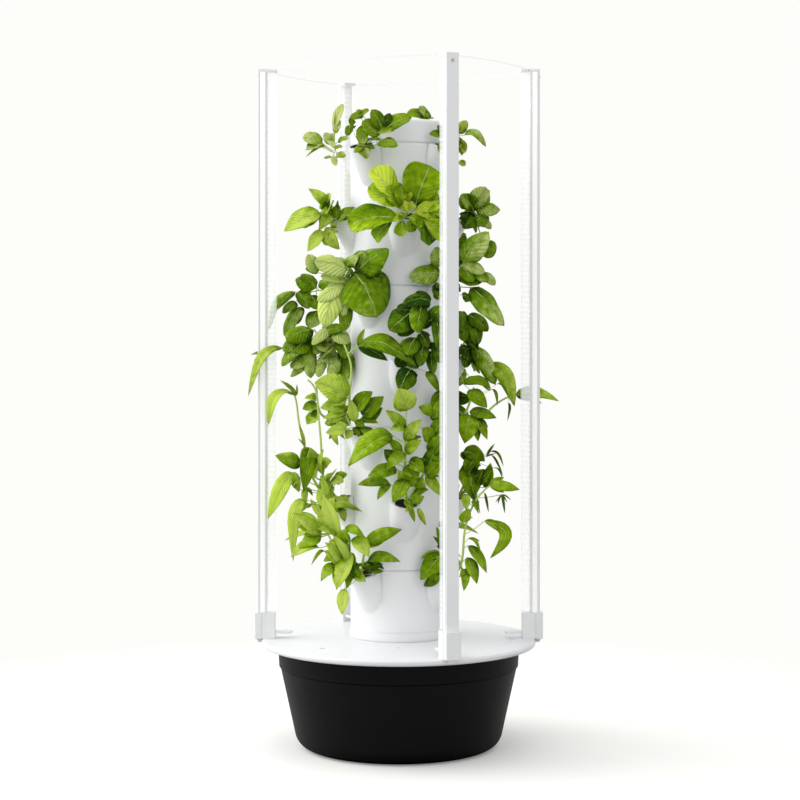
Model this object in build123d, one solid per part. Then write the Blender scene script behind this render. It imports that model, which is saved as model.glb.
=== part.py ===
from build123d import *
import os
from math import cos, radians, sin, tan

os.makedirs("parts", exist_ok=True)

# Vertical hydroponic garden, in millimetres. The origin is on the floor under the column's axis.
# +Z is up. Angles turn about the column: 0 faces -Y, the front, and positive turns towards +X.

# Clearances, and how far a cut runs past the face that it opens
SEAT_GAP = 0.3
RUNNING_GAP = 0.05
CUT = 1.0

# Reservoir: a tapered tub with a plain band under the rim
TUB_HEIGHT = 236.0
TUB_WALL = 4.0
TUB_RIM_R = 280.0
TUB_RIM_WALL = 8.0
TUB_FLARE = 0.2216
TUB_FOOT_ROUND = 40.0
BAND_HEIGHT = 50.0
BAND_STEP = 3.2
BAND_FLARE = 0.04

# Lid: a crowned disc that stands on the tub's rim
LID_OVERHANG = 38.0
LID_EDGE = 14.0
LID_CROWN = 6.0
LID_ROUND = 6.0
LID_LAND = 56.0
LID_FLAT = 10.0
LID_RING_WALL = 4.5
LID_RING_DEPTH = 12.0
LID_RING_GAP = 0.5
DIMPLE_DEPTH = 3.0
DIMPLES = ((234.0, -47.0, 7.0), (171.0, 0.0, 3.5), (261.0, 86.0, 7.0))

# Filling port behind the column, with its swinging cover
PORT_Y = 200.0
PORT_R = 42.0
PORT_PAD_WALL = 14.0
PAD_HEIGHT = 8.0
PIVOT_X = 78.0
PIVOT_BOSS_R = 14.0
PIVOT_SHANK_R = 3.0
PIVOT_DEPTH = 10.0
COVER_THICK = 5.0
COVER_LAP = 12.0
COVER_TAB_WIDTH = 8.0
COVER_TAB_LENGTH = 34.0
COVER_TAB_HEIGHT = 6.0
PIVOT_HEAD_R = 6.6
PIVOT_HEAD = 3.0

# Gland for the pump's lead
GLAND_X = -85.0
GLAND_Y = 215.0
GLAND_R = 8.0
GLAND_FLANGE = 3.0
GLAND_FLANGE_THICK = 2.5
GLAND_PAD = 3.0

# Column
COLUMN_R = 112.0
COLUMN_WALL = 4.0
BASE_HEIGHT = 163.0
SECTION_HEIGHT = 325.0
SECTIONS = 3
COLLAR_HEIGHT = 21.0
COLLAR_STEP = 2.5
SPIGOT_WALL = 3.2
SPIGOT_DEPTH = 14.0
SHOULDER = 6.0
SEAM_GROOVE = 0.8
SEAM_GROOVE_HEIGHT = 1.4
LID_SPIGOT_R = 100.0
LID_SPIGOT_DEPTH = 18.0
CAP_HEIGHT = 55.0
CAP_WALL = 3.0
CAP_ROUND = 6.0

# Planting ports: round pockets that lean out of the column under a tilted mouth
PORTS_ROUND = 4
SEAM_ROW_TURN = -38.0
MID_ROW_TURN = 7.0
PORT_REACH = 53.0
MOUTH_LIP = 2.7
MOUTH_TILT = 16.0
POCKET_R = 35.0
POCKET_LEAN = 32.0
POCKET_WALL = 3.0
MID_ROW_DROP = 162.0

# Net cup and growing plug
CUP_R = 23.5
CUP_FOOT_R = 10.4
CUP_DEPTH = 36.0
CUP_WALL = 1.4
CUP_FLANGE = 2.4
CUP_FLANGE_THICK = 2.0
CUP_SLOTS = 6
CUP_SLOT_WIDTH = 5.0
CUP_SLOT_EDGE = 6.0
PLUG_DROP = 1.0

# Water circuit
RISER_R = 11.5
RISER_WALL = 2.4
RISER_LAP = 18.0
OUTLET_HEIGHT = 24.0
PUMP_FOOT_R = 8.0
PUMP_FOOT_TOP_R = 5.6
PUMP_FOOT_HEIGHT = 8.0
PUMP_FOOT_EDGE = 3.0
PUMP_WIDTH = 64.0
PUMP_LENGTH = 60.0
PUMP_HEIGHT = 56.0
PUMP_ROUND = 8.0
CHAMBER_R = 28.0
CHAMBER_DEPTH = 29.0
CHAMBER_WALL = 4.5
CHAMBER_LIFT = 2.0
OUTLET_BITE = 3.0
ROTOR_R = 9.0
ROTOR_LENGTH = 46.0
IMPELLER_R = 21.0
IMPELLER_VANES = 6
VANE_THICK = 2.0
VANE_DEPTH = 13.0
IMPELLER_DISC = 3.0
IMPELLER_GAP = 1.0
INTAKE_THICK = 3.0
INTAKE_SLOT_WIDTH = 4.0
INTAKE_SLOT_LENGTH = 30.0
INTAKE_SLOTS = 5
INTAKE_PITCH = 8.0
DISH_R = 98.0
DISH_THICK = 3.0
DISH_RIM = 9.0
DISH_HUB_R = 16.0
DISH_HUB_HEIGHT = 22.0
DISH_ROOF = 6.0
DISH_BELOW_SEAM = 18.0
DRIP_HOLES = 12
DRIP_HOLE_R = 3.0
DRIP_CIRCLE_R = 80.0

# Light posts, each a box channel with a clear cover towards the plants
POST_ANGLES = {"left": -90.0, "front": 21.0, "right": 90.0, "back": 205.0}
POST_OVERHANG = 10.0
POST_WIDTH = 30.0
CHANNEL_DEPTH = 21.0
CHANNEL_WALL = 2.0
LENS_DEPTH = 23.0
LENS_WALL = 2.0
LENS_ROUND = 5.0
LENS_FOOT_GAP = 1.0
POST_ROUND = 2.0
POST_TOP = 1573.0
END_CAP_THICK = 6.0
CAP_LUG_WIDTH = 12.0
CAP_LUG_LENGTH = 26.0
STRIP_WIDTH = 14.0
STRIP_THICK = 1.6
STRIP_END_GAP = 6.0
POST_SCREW_R = 1.6
POST_SCREW_HEAD_R = 3.4
POST_SCREW_HEAD = 1.6
POST_SCREW_DROP = 17.0
POST_SCREW_REACH = 9.0

# Sockets that hook on the lid's rim
SOCKET_WIDTH = 36.0
SOCKET_INSET = 31.0
SOCKET_DEPTH = 48.0
SOCKET_HEIGHT = 60.0
SOCKET_FLOOR = 12.0
SOCKET_ROUND = 3.0
SOCKET_GROOVE = 0.8
SOCKET_GROOVE_WIDTH = 1.6
TONGUE_LENGTH = 40.0
TONGUE_WIDTH = 22.0
TONGUE_THICK = 5.0
TONGUE_ROUND = 7.0
TONGUE_LIFT = 11.0
HOOK_WIDTH = 14.0
HOOK_DEPTH = 20.0
HOOK_FOOT = 5.0
HOOK_SETBACK = 4.0

# Bowed rods between the post tops
TIE_WIDTH = 2.6
TIE_HEIGHT = 3.0
TIE_BOW_SHARE = 0.5

# Plants: thin stems and leaf plates that stand for the soft foliage
STEM_FOOT = 7.0
STEM_CROWN = 5.6
STEM_TIP = 3.0
LEAF_THICK = 1.6
LEAF_NEAR = 0.42
LEAF_NEAR_SHARE = 0.86
LEAF_FAR = 0.74
LEAF_LEAN = 0.7
STEM_RISE = 16.0

# Levels and radii that follow from the sizes above
BAND_LOW = TUB_HEIGHT - BAND_HEIGHT
BAND_R = TUB_RIM_R - BAND_FLARE * BAND_HEIGHT
TUB_SIDE_R = BAND_R - BAND_STEP
TUB_FLOOR_R = TUB_SIDE_R - TUB_FLARE * BAND_LOW
TUB_BORE_R = TUB_RIM_R - TUB_RIM_WALL
LID_BOTTOM = TUB_HEIGHT
LID_R = TUB_RIM_R + LID_OVERHANG
LID_LAND_R = LID_R - LID_LAND
LID_LAND_Z = LID_BOTTOM + LID_EDGE
LID_TOP = LID_LAND_Z + LID_CROWN
PAD_TOP = LID_LAND_Z + PAD_HEIGHT
COLLAR_R = COLUMN_R + COLLAR_STEP
LID_FLAT_R = COLLAR_R + LID_FLAT
LID_HOLE_R = LID_SPIGOT_R + SEAT_GAP
BORE_R = COLUMN_R - COLUMN_WALL
SPIGOT_R = BORE_R - SEAT_GAP
SPIGOT_BORE_R = SPIGOT_R - SPIGOT_WALL
SEAMS = [LID_TOP + BASE_HEIGHT + SECTION_HEIGHT * k for k in range(SECTIONS + 1)]
HOLE_R = CUP_R + SEAT_GAP
MOUTH_R = COLUMN_R + PORT_REACH
MOUTH_RISE = PORT_REACH * tan(radians(MOUTH_TILT))
MOUTH_CENTRE_R = MOUTH_R - HOLE_R - MOUTH_LIP
MOUTH_CENTRE_RISE = (MOUTH_R - MOUTH_CENTRE_R) * tan(radians(MOUTH_TILT))
POCKET_LENGTH = (MOUTH_R - BORE_R + POCKET_WALL) / sin(radians(POCKET_LEAN))
POST_FACE_R = LID_R + POST_OVERHANG
CHANNEL_INNER_R = POST_FACE_R - CHANNEL_DEPTH
LENS_INNER_R = CHANNEL_INNER_R - LENS_DEPTH
POST_FOOT_Z = LID_LAND_Z + SOCKET_FLOOR
SOCKET_TOP = LID_LAND_Z + SOCKET_HEIGHT
LENS_FOOT_Z = SOCKET_TOP + LENS_FOOT_GAP
SOCKET_INNER_R = LID_R - SOCKET_INSET
SOCKET_OUTER_R = SOCKET_INNER_R + SOCKET_DEPTH
POST_BODY_TOP = POST_TOP - END_CAP_THICK
CENTRE_BOTTOM = (Align.CENTER, Align.CENTER, Align.MIN)
CENTRE_TOP = (Align.CENTER, Align.CENTER, Align.MAX)


def save(name, *solids):
    """Write one node, a single piece or a group of like pieces."""
    shape = solids[0] if len(solids) == 1 else Compound(children=list(solids))
    shape.label = name
    export_step(shape, f"parts/{name}.step")


def turned(angle):
    """Turn a piece modelled at the front round the column."""
    return Rot(0, 0, angle)


def at(radius, angle, z):
    """A point given by its distance and direction from the column's axis."""
    return Vector(radius * sin(radians(angle)), -radius * cos(radians(angle)), z)


def revolved(*points):
    """A turned solid from its half profile, in radius and height."""
    return revolve(make_face(Polyline(*[(r, 0, z) for r, z in points], close=True)), Axis.Z)


def tube(outer, inner, low, high):
    """An upright tube between two levels."""
    ring = Circle(outer) - Circle(inner)
    return Pos(0, 0, low) * extrude(ring, high - low)


def rod(radius, low, high):
    """An upright round bar between two levels."""
    return Pos(0, 0, low) * Cylinder(radius, high - low, align=CENTRE_BOTTOM)


# Reservoir: revolved shell with a rounded foot and the proud band
def reservoir():
    outer = [
        (0, 0),
        (TUB_FLOOR_R, 0),
        (TUB_SIDE_R, BAND_LOW),
        (BAND_R, BAND_LOW + BAND_STEP),
        (TUB_RIM_R, TUB_HEIGHT),
    ]
    inner_foot = TUB_FLOOR_R + TUB_FLARE * TUB_WALL - TUB_WALL
    inner = [
        (TUB_BORE_R, TUB_HEIGHT),
        (TUB_SIDE_R - TUB_WALL, BAND_LOW),
        (inner_foot, TUB_WALL),
        (0, TUB_WALL),
    ]
    profile = make_face(Polyline(*[(r, 0, z) for r, z in outer + inner], close=True))
    foot = profile.vertices().sort_by_distance((TUB_FLOOR_R, 0, 0))[0]
    profile = fillet(foot, TUB_FOOT_ROUND)
    heel = profile.vertices().sort_by_distance((inner_foot, 0, TUB_WALL))[0]
    profile = fillet(heel, TUB_FOOT_ROUND - TUB_WALL)
    return revolve(profile, Axis.Z)


# Lid: crowned plate with a round rim, a locating ring, the filling port and the gland's seat
def reservoir_lid():
    plate = revolved(
        (LID_HOLE_R, LID_BOTTOM),
        (LID_R, LID_BOTTOM),
        (LID_R, LID_LAND_Z),
        (LID_LAND_R, LID_LAND_Z),
        (LID_FLAT_R, LID_TOP),
        (LID_HOLE_R, LID_TOP),
    )
    rim = plate.edges().filter_by(GeomType.CIRCLE).filter_by(lambda e: abs(e.radius - LID_R) < SEAT_GAP)
    plate = fillet(rim, LID_ROUND)
    ring_r = TUB_BORE_R - LID_RING_GAP
    plate += tube(ring_r, ring_r - LID_RING_WALL, LID_BOTTOM - LID_RING_DEPTH, LID_BOTTOM)
    pad_low = LID_BOTTOM + LID_EDGE / 2
    plate += Pos(0, PORT_Y, 0) * rod(PORT_R + PORT_PAD_WALL, pad_low, PAD_TOP)
    plate += Pos(PIVOT_X, PORT_Y, 0) * rod(PIVOT_BOSS_R, pad_low, PAD_TOP)
    plate += Pos(GLAND_X, GLAND_Y, 0) * rod(GLAND_R + GLAND_FLANGE + GLAND_PAD, pad_low, LID_TOP)
    plate -= Pos(0, PORT_Y, 0) * rod(PORT_R, LID_BOTTOM - CUT, PAD_TOP + CUT)
    plate -= Pos(PIVOT_X, PORT_Y, 0) * rod(PIVOT_SHANK_R, PAD_TOP - PIVOT_DEPTH, PAD_TOP + CUT)
    plate -= Pos(GLAND_X, GLAND_Y, 0) * rod(GLAND_R, LID_BOTTOM - CUT, LID_TOP + CUT)
    for radius, angle, size in DIMPLES:
        slope = max(0.0, LID_LAND_R - radius) / (LID_LAND_R - LID_FLAT_R)
        floor = LID_LAND_Z + LID_CROWN * slope - DIMPLE_DEPTH
        plate -= Pos(at(radius, angle, floor)) * Cylinder(size, LID_EDGE, align=CENTRE_BOTTOM)
    return plate


def access_cover():
    """Swinging cover: a disc over the filling port with an arm to its pivot."""
    low = PAD_TOP + SEAT_GAP
    disc = Pos(0, PORT_Y, 0) * rod(PORT_R + COVER_LAP, low, low + COVER_THICK)
    arm_width = 2 * PIVOT_BOSS_R
    arm = Pos(PIVOT_X / 2, PORT_Y, low) * Box(PIVOT_X, arm_width, COVER_THICK, align=CENTRE_BOTTOM)
    knuckle = Pos(PIVOT_X, PORT_Y, 0) * rod(PIVOT_BOSS_R, low, low + COVER_THICK)
    grip_height = COVER_THICK + COVER_TAB_HEIGHT
    grip = Box(COVER_TAB_WIDTH, COVER_TAB_LENGTH, grip_height, align=CENTRE_BOTTOM)
    grip = Pos(-PORT_R / 2, PORT_Y, low) * grip
    bore = Pos(PIVOT_X, PORT_Y, 0) * rod(PIVOT_SHANK_R + RUNNING_GAP, low - CUT, low + COVER_THICK + CUT)
    return disc + arm + knuckle + grip - bore


def cover_pivot_screw():
    """Shoulder screw that the cover swings on."""
    head_low = PAD_TOP + 2 * SEAT_GAP + COVER_THICK
    shank = rod(PIVOT_SHANK_R, PAD_TOP - PIVOT_DEPTH, head_low)
    head = rod(PIVOT_HEAD_R, head_low, head_low + PIVOT_HEAD)
    return Pos(PIVOT_X, PORT_Y, 0) * (shank + head)


def cord_gland():
    """Closed rubber gland, flush under its flange."""
    body = rod(GLAND_R, LID_BOTTOM, LID_TOP)
    flange = rod(GLAND_R + GLAND_FLANGE, LID_TOP, LID_TOP + GLAND_FLANGE_THICK)
    return Pos(GLAND_X, GLAND_Y, 0) * (body + flange)


# Planting port, modelled at the front of the column
def pocket(lip, inset):
    """Body of a pocket below its tilted mouth, a leaning round bar drawn in by an inset."""
    lean = radians(POCKET_LEAN)
    front = (0, POCKET_R * cos(lean) - MOUTH_R, POCKET_R * sin(lean) + lip)
    axis = Plane(origin=front, x_dir=(1, 0, 0), z_dir=(0, -sin(lean), cos(lean)))
    bar = axis * rod(POCKET_R - inset, -POCKET_LENGTH, CUT)
    return bar - above_mouth(lip, -inset)


def mouth_plane(lip, radius):
    """Plane of a port's mouth, at a distance from the column's axis."""
    rise = (MOUTH_R - radius) * tan(radians(MOUTH_TILT))
    tilt = radians(MOUTH_TILT)
    return Plane(origin=(0, -radius, lip + rise), x_dir=(1, 0, 0), z_dir=(0, -sin(tilt), cos(tilt)))


def above_mouth(lip, offset):
    """Block that covers all that lies over a port's mouth."""
    block = Box(6 * POCKET_R, 6 * POCKET_R, 2 * POCKET_R, align=CENTRE_BOTTOM)
    return mouth_plane(lip, MOUTH_CENTRE_R) * Pos(0, 0, offset) * block


def mouth_hole(lip):
    """Round hole in a port's mouth that takes the net cup."""
    return mouth_plane(lip, MOUTH_CENTRE_R) * Cylinder(HOLE_R, 4 * POCKET_WALL)


def with_ports(shell, rows, top):
    """Add rows of ports to a column piece, given each row's lip level and turn."""
    for lip, turn in rows:
        body = pocket(lip, 0) - rod(MOUTH_R, top, top + POCKET_R)
        body -= rod(BORE_R, lip - POCKET_LENGTH, top)
        hollow = pocket(lip, POCKET_WALL) + mouth_hole(lip)
        angles = [turn + 360 / PORTS_ROUND * k for k in range(PORTS_ROUND)]
        shell += [turned(a) * body for a in angles]
        shell -= [turned(a) * hollow for a in angles]
    return shell


def seam_groove(low):
    """Shadow groove round the lower edge of a piece that stands on another."""
    return tube(COLUMN_R + CUT, COLUMN_R - SEAM_GROOVE, low - CUT, low + SEAM_GROOVE_HEIGHT)


def tower_base():
    """Column foot: collar on the lid, spigot in the lid's hole and the lowest ports."""
    top = SEAMS[0]
    shell = tube(COLUMN_R, BORE_R, LID_TOP, top)
    shell += tube(COLLAR_R, BORE_R, LID_TOP, LID_TOP + COLLAR_HEIGHT)
    shell += tube(COLUMN_R, LID_SPIGOT_R - COLUMN_WALL, LID_TOP, LID_TOP + SHOULDER)
    shell += tube(LID_SPIGOT_R, LID_SPIGOT_R - COLUMN_WALL, LID_TOP - LID_SPIGOT_DEPTH, LID_TOP)
    return with_ports(shell, [ROWS[0]], top)


def tower_section(index):
    """Column section: spigot in the piece below, one row of ports half way and one at the top."""
    low = SEAMS[index - 1]
    top = SEAMS[index]
    shell = tube(COLUMN_R, BORE_R, low, top)
    shell += tube(COLUMN_R, SPIGOT_BORE_R, low, low + SHOULDER)
    shell -= seam_groove(low)
    shell += tube(SPIGOT_R, SPIGOT_BORE_R, low - SPIGOT_DEPTH, low)
    return with_ports(shell, ROWS[2 * index - 1 : 2 * index + 1], top)


def top_cap():
    """Plain cap with a rounded edge and a spigot in the last section."""
    low = SEAMS[-1]
    top = low + CAP_HEIGHT
    drum = rod(COLUMN_R, low, top)
    drum = fillet(drum.edges().group_by(Axis.Z)[-1], CAP_ROUND)
    drum -= seam_groove(low)
    drum += rod(SPIGOT_R, low - SPIGOT_DEPTH, low)
    return drum - rod(SPIGOT_BORE_R, low - SPIGOT_DEPTH - CUT, top - CAP_WALL)


# Lip level and turn of each row of ports, from the bottom row up
ROWS = []
for seam in SEAMS:
    if ROWS:
        ROWS.append((seam - MOUTH_RISE - MID_ROW_DROP, MID_ROW_TURN))
    ROWS.append((seam - MOUTH_RISE, SEAM_ROW_TURN))


def cup_taper(inset, low, high):
    """The net cup's taper between two depths, drawn in by an inset."""
    spread = (CUP_R - CUP_FOOT_R) / CUP_DEPTH
    low_r = CUP_R + spread * low - inset
    high_r = CUP_R + spread * high - inset
    return Pos(0, 0, low) * Cone(low_r, high_r, high - low, align=CENTRE_BOTTOM)


def net_cup():
    """Tapered cup with slotted sides that hangs by its flange, with its rim at the origin."""
    cup = cup_taper(0, -CUP_DEPTH, 0) + rod(CUP_R + CUP_FLANGE, 0, CUP_FLANGE_THICK)
    cup -= cup_taper(CUP_WALL, CUP_WALL - CUP_DEPTH, CUP_FLANGE_THICK)
    slot_height = CUP_DEPTH - 2 * CUP_SLOT_EDGE
    slot = Pos(CUP_R / 2, 0, -CUP_DEPTH / 2) * Box(CUP_R, CUP_SLOT_WIDTH, slot_height)
    return cup - [turned(360 / CUP_SLOTS * k) * slot for k in range(CUP_SLOTS)]


def grow_plug():
    """Growing medium that fills the cup nearly to its rim."""
    return cup_taper(CUP_WALL + SEAT_GAP, CUP_WALL - CUP_DEPTH, -PLUG_DROP)


def in_ports(row, piece):
    """Copies of a piece in all the mouths of one row."""
    lip, turn = ROWS[row]
    seat = mouth_plane(lip, MOUTH_CENTRE_R) * piece
    return [turned(turn + 360 / PORTS_ROUND * k) * seat for k in range(PORTS_ROUND)]


# Submersible pump on the tub's floor, with its outlet on the column's axis
PUMP_Z = TUB_WALL + PUMP_FOOT_HEIGHT
SHAFT_Z = PUMP_Z + CHAMBER_R + CHAMBER_LIFT
CHAMBER_FRONT = -CHAMBER_DEPTH / 2
OUTLET_LOW = SHAFT_Z + CHAMBER_R - OUTLET_BITE
OUTLET_TOP = SHAFT_Z + CHAMBER_R + OUTLET_HEIGHT
OUTLET_R = RISER_R - RISER_WALL - RUNNING_GAP
RISER_LOW = OUTLET_TOP - RISER_LAP
RISER_TOP = SEAMS[-1] - DISH_BELOW_SEAM + DISH_HUB_HEIGHT - DISH_ROOF
AXIS_BACK = Rot(-90, 0, 0)


def along_y(radius, start, end):
    """A round bar along Y at the pump shaft's height."""
    return Pos(0, start, SHAFT_Z) * AXIS_BACK * Cylinder(radius, end - start, align=CENTRE_BOTTOM)


def pump_body():
    """Motor block, impeller chamber open to the front, rotor bore and upright outlet."""
    motor_front = -CHAMBER_FRONT
    motor = Box(PUMP_WIDTH, PUMP_LENGTH, PUMP_HEIGHT, align=(Align.CENTER, Align.MIN, Align.MIN))
    motor = Pos(0, motor_front, PUMP_Z) * motor
    motor = fillet(motor.edges().filter_by(Axis.Y), PUMP_ROUND)
    body = motor + along_y(CHAMBER_R, CHAMBER_FRONT, motor_front) + rod(OUTLET_R, OUTLET_LOW, OUTLET_TOP)
    body -= along_y(CHAMBER_R - CHAMBER_WALL, CHAMBER_FRONT - CUT, motor_front - CHAMBER_WALL)
    body -= along_y(ROTOR_R + RUNNING_GAP, 0, motor_front + ROTOR_LENGTH)
    return body - rod(OUTLET_R - RISER_WALL, SHAFT_Z + CHAMBER_R / 2, OUTLET_TOP + CUT)


def pump_impeller():
    """Rotor, back disc and radial vanes in one piece."""
    back = -CHAMBER_FRONT - CHAMBER_WALL - IMPELLER_GAP
    disc = along_y(IMPELLER_R, back - IMPELLER_DISC, back)
    rotor = along_y(ROTOR_R, back - IMPELLER_DISC - VANE_DEPTH, back + ROTOR_LENGTH)
    vane = Pos(IMPELLER_R / 2, 0, 0) * Box(IMPELLER_R, VANE_DEPTH, VANE_THICK)
    hub = Pos(0, back - IMPELLER_DISC - VANE_DEPTH / 2, SHAFT_Z)
    return disc + rotor + [hub * Rot(0, 360 / IMPELLER_VANES * k, 0) * vane for k in range(IMPELLER_VANES)]


def pump_intake_cover():
    """Slotted plate that closes the chamber."""
    plate = along_y(CHAMBER_R, CHAMBER_FRONT - INTAKE_THICK, CHAMBER_FRONT)
    slot = Box(INTAKE_SLOT_WIDTH, 3 * INTAKE_THICK, INTAKE_SLOT_LENGTH)
    first = -INTAKE_PITCH * (INTAKE_SLOTS - 1) / 2
    places = [first + INTAKE_PITCH * k for k in range(INTAKE_SLOTS)]
    return plate - [Pos(x, CHAMBER_FRONT - INTAKE_THICK / 2, SHAFT_Z) * slot for x in places]


def pump_feet():
    """Four rubber feet under the motor block."""
    middle = -CHAMBER_FRONT + PUMP_LENGTH / 2
    spread_x = PUMP_WIDTH / 2 - PUMP_FOOT_R - PUMP_FOOT_EDGE
    spread_y = PUMP_LENGTH / 2 - PUMP_FOOT_R - PUMP_FOOT_EDGE
    foot = Cone(PUMP_FOOT_R, PUMP_FOOT_TOP_R, PUMP_FOOT_HEIGHT, align=CENTRE_BOTTOM)
    corners = [(x, y) for x in (-spread_x, spread_x) for y in (-spread_y, spread_y)]
    return [Pos(x, middle + y, TUB_WALL) * foot for x, y in corners]


def drip_distributor():
    """Dish on the riser's end that drips over the roots."""
    floor = SEAMS[-1] - DISH_BELOW_SEAM
    dish = rod(DISH_R, floor, floor + DISH_RIM)
    dish -= rod(DISH_R - DISH_THICK, floor + DISH_THICK, floor + DISH_RIM + CUT)
    dish += rod(DISH_HUB_R, floor, floor + DISH_HUB_HEIGHT)
    dish -= rod(RISER_R + RUNNING_GAP, floor - CUT, RISER_TOP)
    hole = Pos(DRIP_CIRCLE_R, 0, 0) * rod(DRIP_HOLE_R, floor - CUT, floor + DISH_THICK + CUT)
    return dish - [turned(360 / DRIP_HOLES * k) * hole for k in range(DRIP_HOLES)]


# Light post, modelled at the front of the column
def upright(inner_r, outer_r, width, low, high):
    """A square bar between two distances from the column's axis."""
    depth = outer_r - inner_r
    middle = -(inner_r + outer_r) / 2
    return Pos(0, middle, low) * Box(width, depth, high - low, align=CENTRE_BOTTOM)


def light_channel():
    """Box channel with rounded outer corners and a hole for the cap's screw."""
    bar = upright(CHANNEL_INNER_R, POST_FACE_R, POST_WIDTH, POST_FOOT_Z, POST_BODY_TOP)
    outer = bar.edges().filter_by(Axis.Z).group_by(Axis.Y)[0]
    bar = fillet(outer, POST_ROUND)
    bar -= upright(
        CHANNEL_INNER_R + CHANNEL_WALL,
        POST_FACE_R - CHANNEL_WALL,
        POST_WIDTH - 2 * CHANNEL_WALL,
        POST_FOOT_Z - CUT,
        POST_BODY_TOP + CUT,
    )
    return bar - post_screw_bar(POST_SCREW_R + RUNNING_GAP)


def post_screw_bar(radius):
    """A bar along the post screw's axis, from the face into the end cap's lug."""
    bar = Rot(90, 0, 0) * Cylinder(radius, POST_SCREW_REACH, align=CENTRE_TOP)
    return Pos(0, -POST_FACE_R, POST_TOP - POST_SCREW_DROP) * bar


def post_screw():
    """Pan head screw in the post's face."""
    head = Rot(90, 0, 0) * Cylinder(POST_SCREW_HEAD_R, POST_SCREW_HEAD, align=CENTRE_BOTTOM)
    return post_screw_bar(POST_SCREW_R) + Pos(0, -POST_FACE_R, POST_TOP - POST_SCREW_DROP) * head


def light_lens():
    """Clear trough over the light strip, with round corners towards the plants."""
    bar = upright(LENS_INNER_R, CHANNEL_INNER_R, POST_WIDTH, LENS_FOOT_Z, POST_BODY_TOP)
    bar = fillet(bar.edges().filter_by(Axis.Z).group_by(Axis.Y)[-1], LENS_ROUND)
    room = upright(
        LENS_INNER_R + LENS_WALL,
        CHANNEL_INNER_R + CUT,
        POST_WIDTH - 2 * LENS_WALL,
        LENS_FOOT_Z - CUT,
        POST_BODY_TOP + CUT,
    )
    room = fillet(room.edges().filter_by(Axis.Z).group_by(Axis.Y)[-1], LENS_ROUND - LENS_WALL)
    return bar - room


def led_strip():
    """Light strip on the channel's inner face."""
    low = LENS_FOOT_Z + STRIP_END_GAP
    high = POST_BODY_TOP - STRIP_END_GAP
    return upright(CHANNEL_INNER_R - STRIP_THICK, CHANNEL_INNER_R, STRIP_WIDTH, low, high)


def post_end_cap():
    """Cap over channel and cover, with a lug inside the channel that takes the screw."""
    plate = upright(LENS_INNER_R, POST_FACE_R, POST_WIDTH, POST_BODY_TOP, POST_TOP)
    plate = fillet(plate.edges().filter_by(Axis.Z), POST_ROUND)
    lug_inner = CHANNEL_INNER_R + CHANNEL_WALL + SEAT_GAP
    lug_outer = POST_FACE_R - CHANNEL_WALL - SEAT_GAP
    lug_low = POST_BODY_TOP - CAP_LUG_LENGTH
    lug = upright(lug_inner, lug_outer, CAP_LUG_WIDTH, lug_low, POST_BODY_TOP + CUT)
    return plate + lug - post_screw_bar(POST_SCREW_R + RUNNING_GAP)


def post_socket():
    """Socket block with a groove over the lid's edge, an inward tongue and a hook outside the rim."""
    block = upright(SOCKET_INNER_R, SOCKET_OUTER_R, SOCKET_WIDTH, LID_LAND_Z, SOCKET_TOP)
    block = fillet(block.edges().filter_by(Axis.Z), SOCKET_ROUND)
    tongue_low = LID_LAND_Z + TONGUE_LIFT
    tongue = upright(
        SOCKET_INNER_R - TONGUE_LENGTH,
        SOCKET_INNER_R + CUT,
        TONGUE_WIDTH,
        tongue_low,
        tongue_low + TONGUE_THICK,
    )
    tongue = fillet(tongue.edges().filter_by(Axis.Z).group_by(Axis.Y)[-1], TONGUE_ROUND)
    hook_inner = LID_R + SEAT_GAP
    hook_outer = SOCKET_OUTER_R - HOOK_SETBACK
    hook_low = LID_LAND_Z - HOOK_DEPTH
    side = Polyline(
        (0, -hook_inner, LID_LAND_Z + CUT),
        (0, -hook_outer, LID_LAND_Z + CUT),
        (0, -hook_outer, LID_LAND_Z),
        (0, -hook_inner - HOOK_FOOT, hook_low),
        (0, -hook_inner, hook_low),
        close=True,
    )
    hook = extrude(make_face(side), HOOK_WIDTH / 2, both=True)
    room = upright(
        CHANNEL_INNER_R - SEAT_GAP,
        POST_FACE_R + SEAT_GAP,
        POST_WIDTH + 2 * SEAT_GAP,
        POST_FOOT_Z,
        SOCKET_TOP + CUT,
    )
    groove_inner = LID_R - SOCKET_GROOVE_WIDTH / 2
    groove_outer = LID_R + SOCKET_GROOVE_WIDTH / 2
    groove = upright(groove_inner, groove_outer, SOCKET_WIDTH + CUT, LID_LAND_Z - CUT, SOCKET_TOP + CUT)
    web = SOCKET_WIDTH - 2 * SOCKET_GROOVE
    groove -= upright(groove_inner, groove_outer, web, LID_LAND_Z - CUT, SOCKET_TOP + CUT)
    return block + tongue + hook - room - groove


def top_tie_rods():
    """Four bowed rods in one level, cut off at the end caps' sides."""
    angles = list(POST_ANGLES.values())
    spans = zip(angles, angles[1:] + [angles[0] + 360])
    caps = [turned(a) * post_end_cap() for a in angles]
    level = POST_TOP - END_CAP_THICK / 2
    rods = []
    for start, end in spans:
        half = radians(end - start) / 2
        bow_r = CHANNEL_INNER_R * (cos(half) + TIE_BOW_SHARE * (1 - cos(half)))
        path = ThreePointArc(
            at(CHANNEL_INNER_R, start, level),
            at(bow_r, (start + end) / 2, level),
            at(CHANNEL_INNER_R, end, level),
        )
        section = Plane(origin=path @ 0, z_dir=path % 0, x_dir=(0, 0, 1)) * Rectangle(TIE_HEIGHT, TIE_WIDTH)
        rods.append(sweep(section, path) - caps)
    return rods


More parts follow.
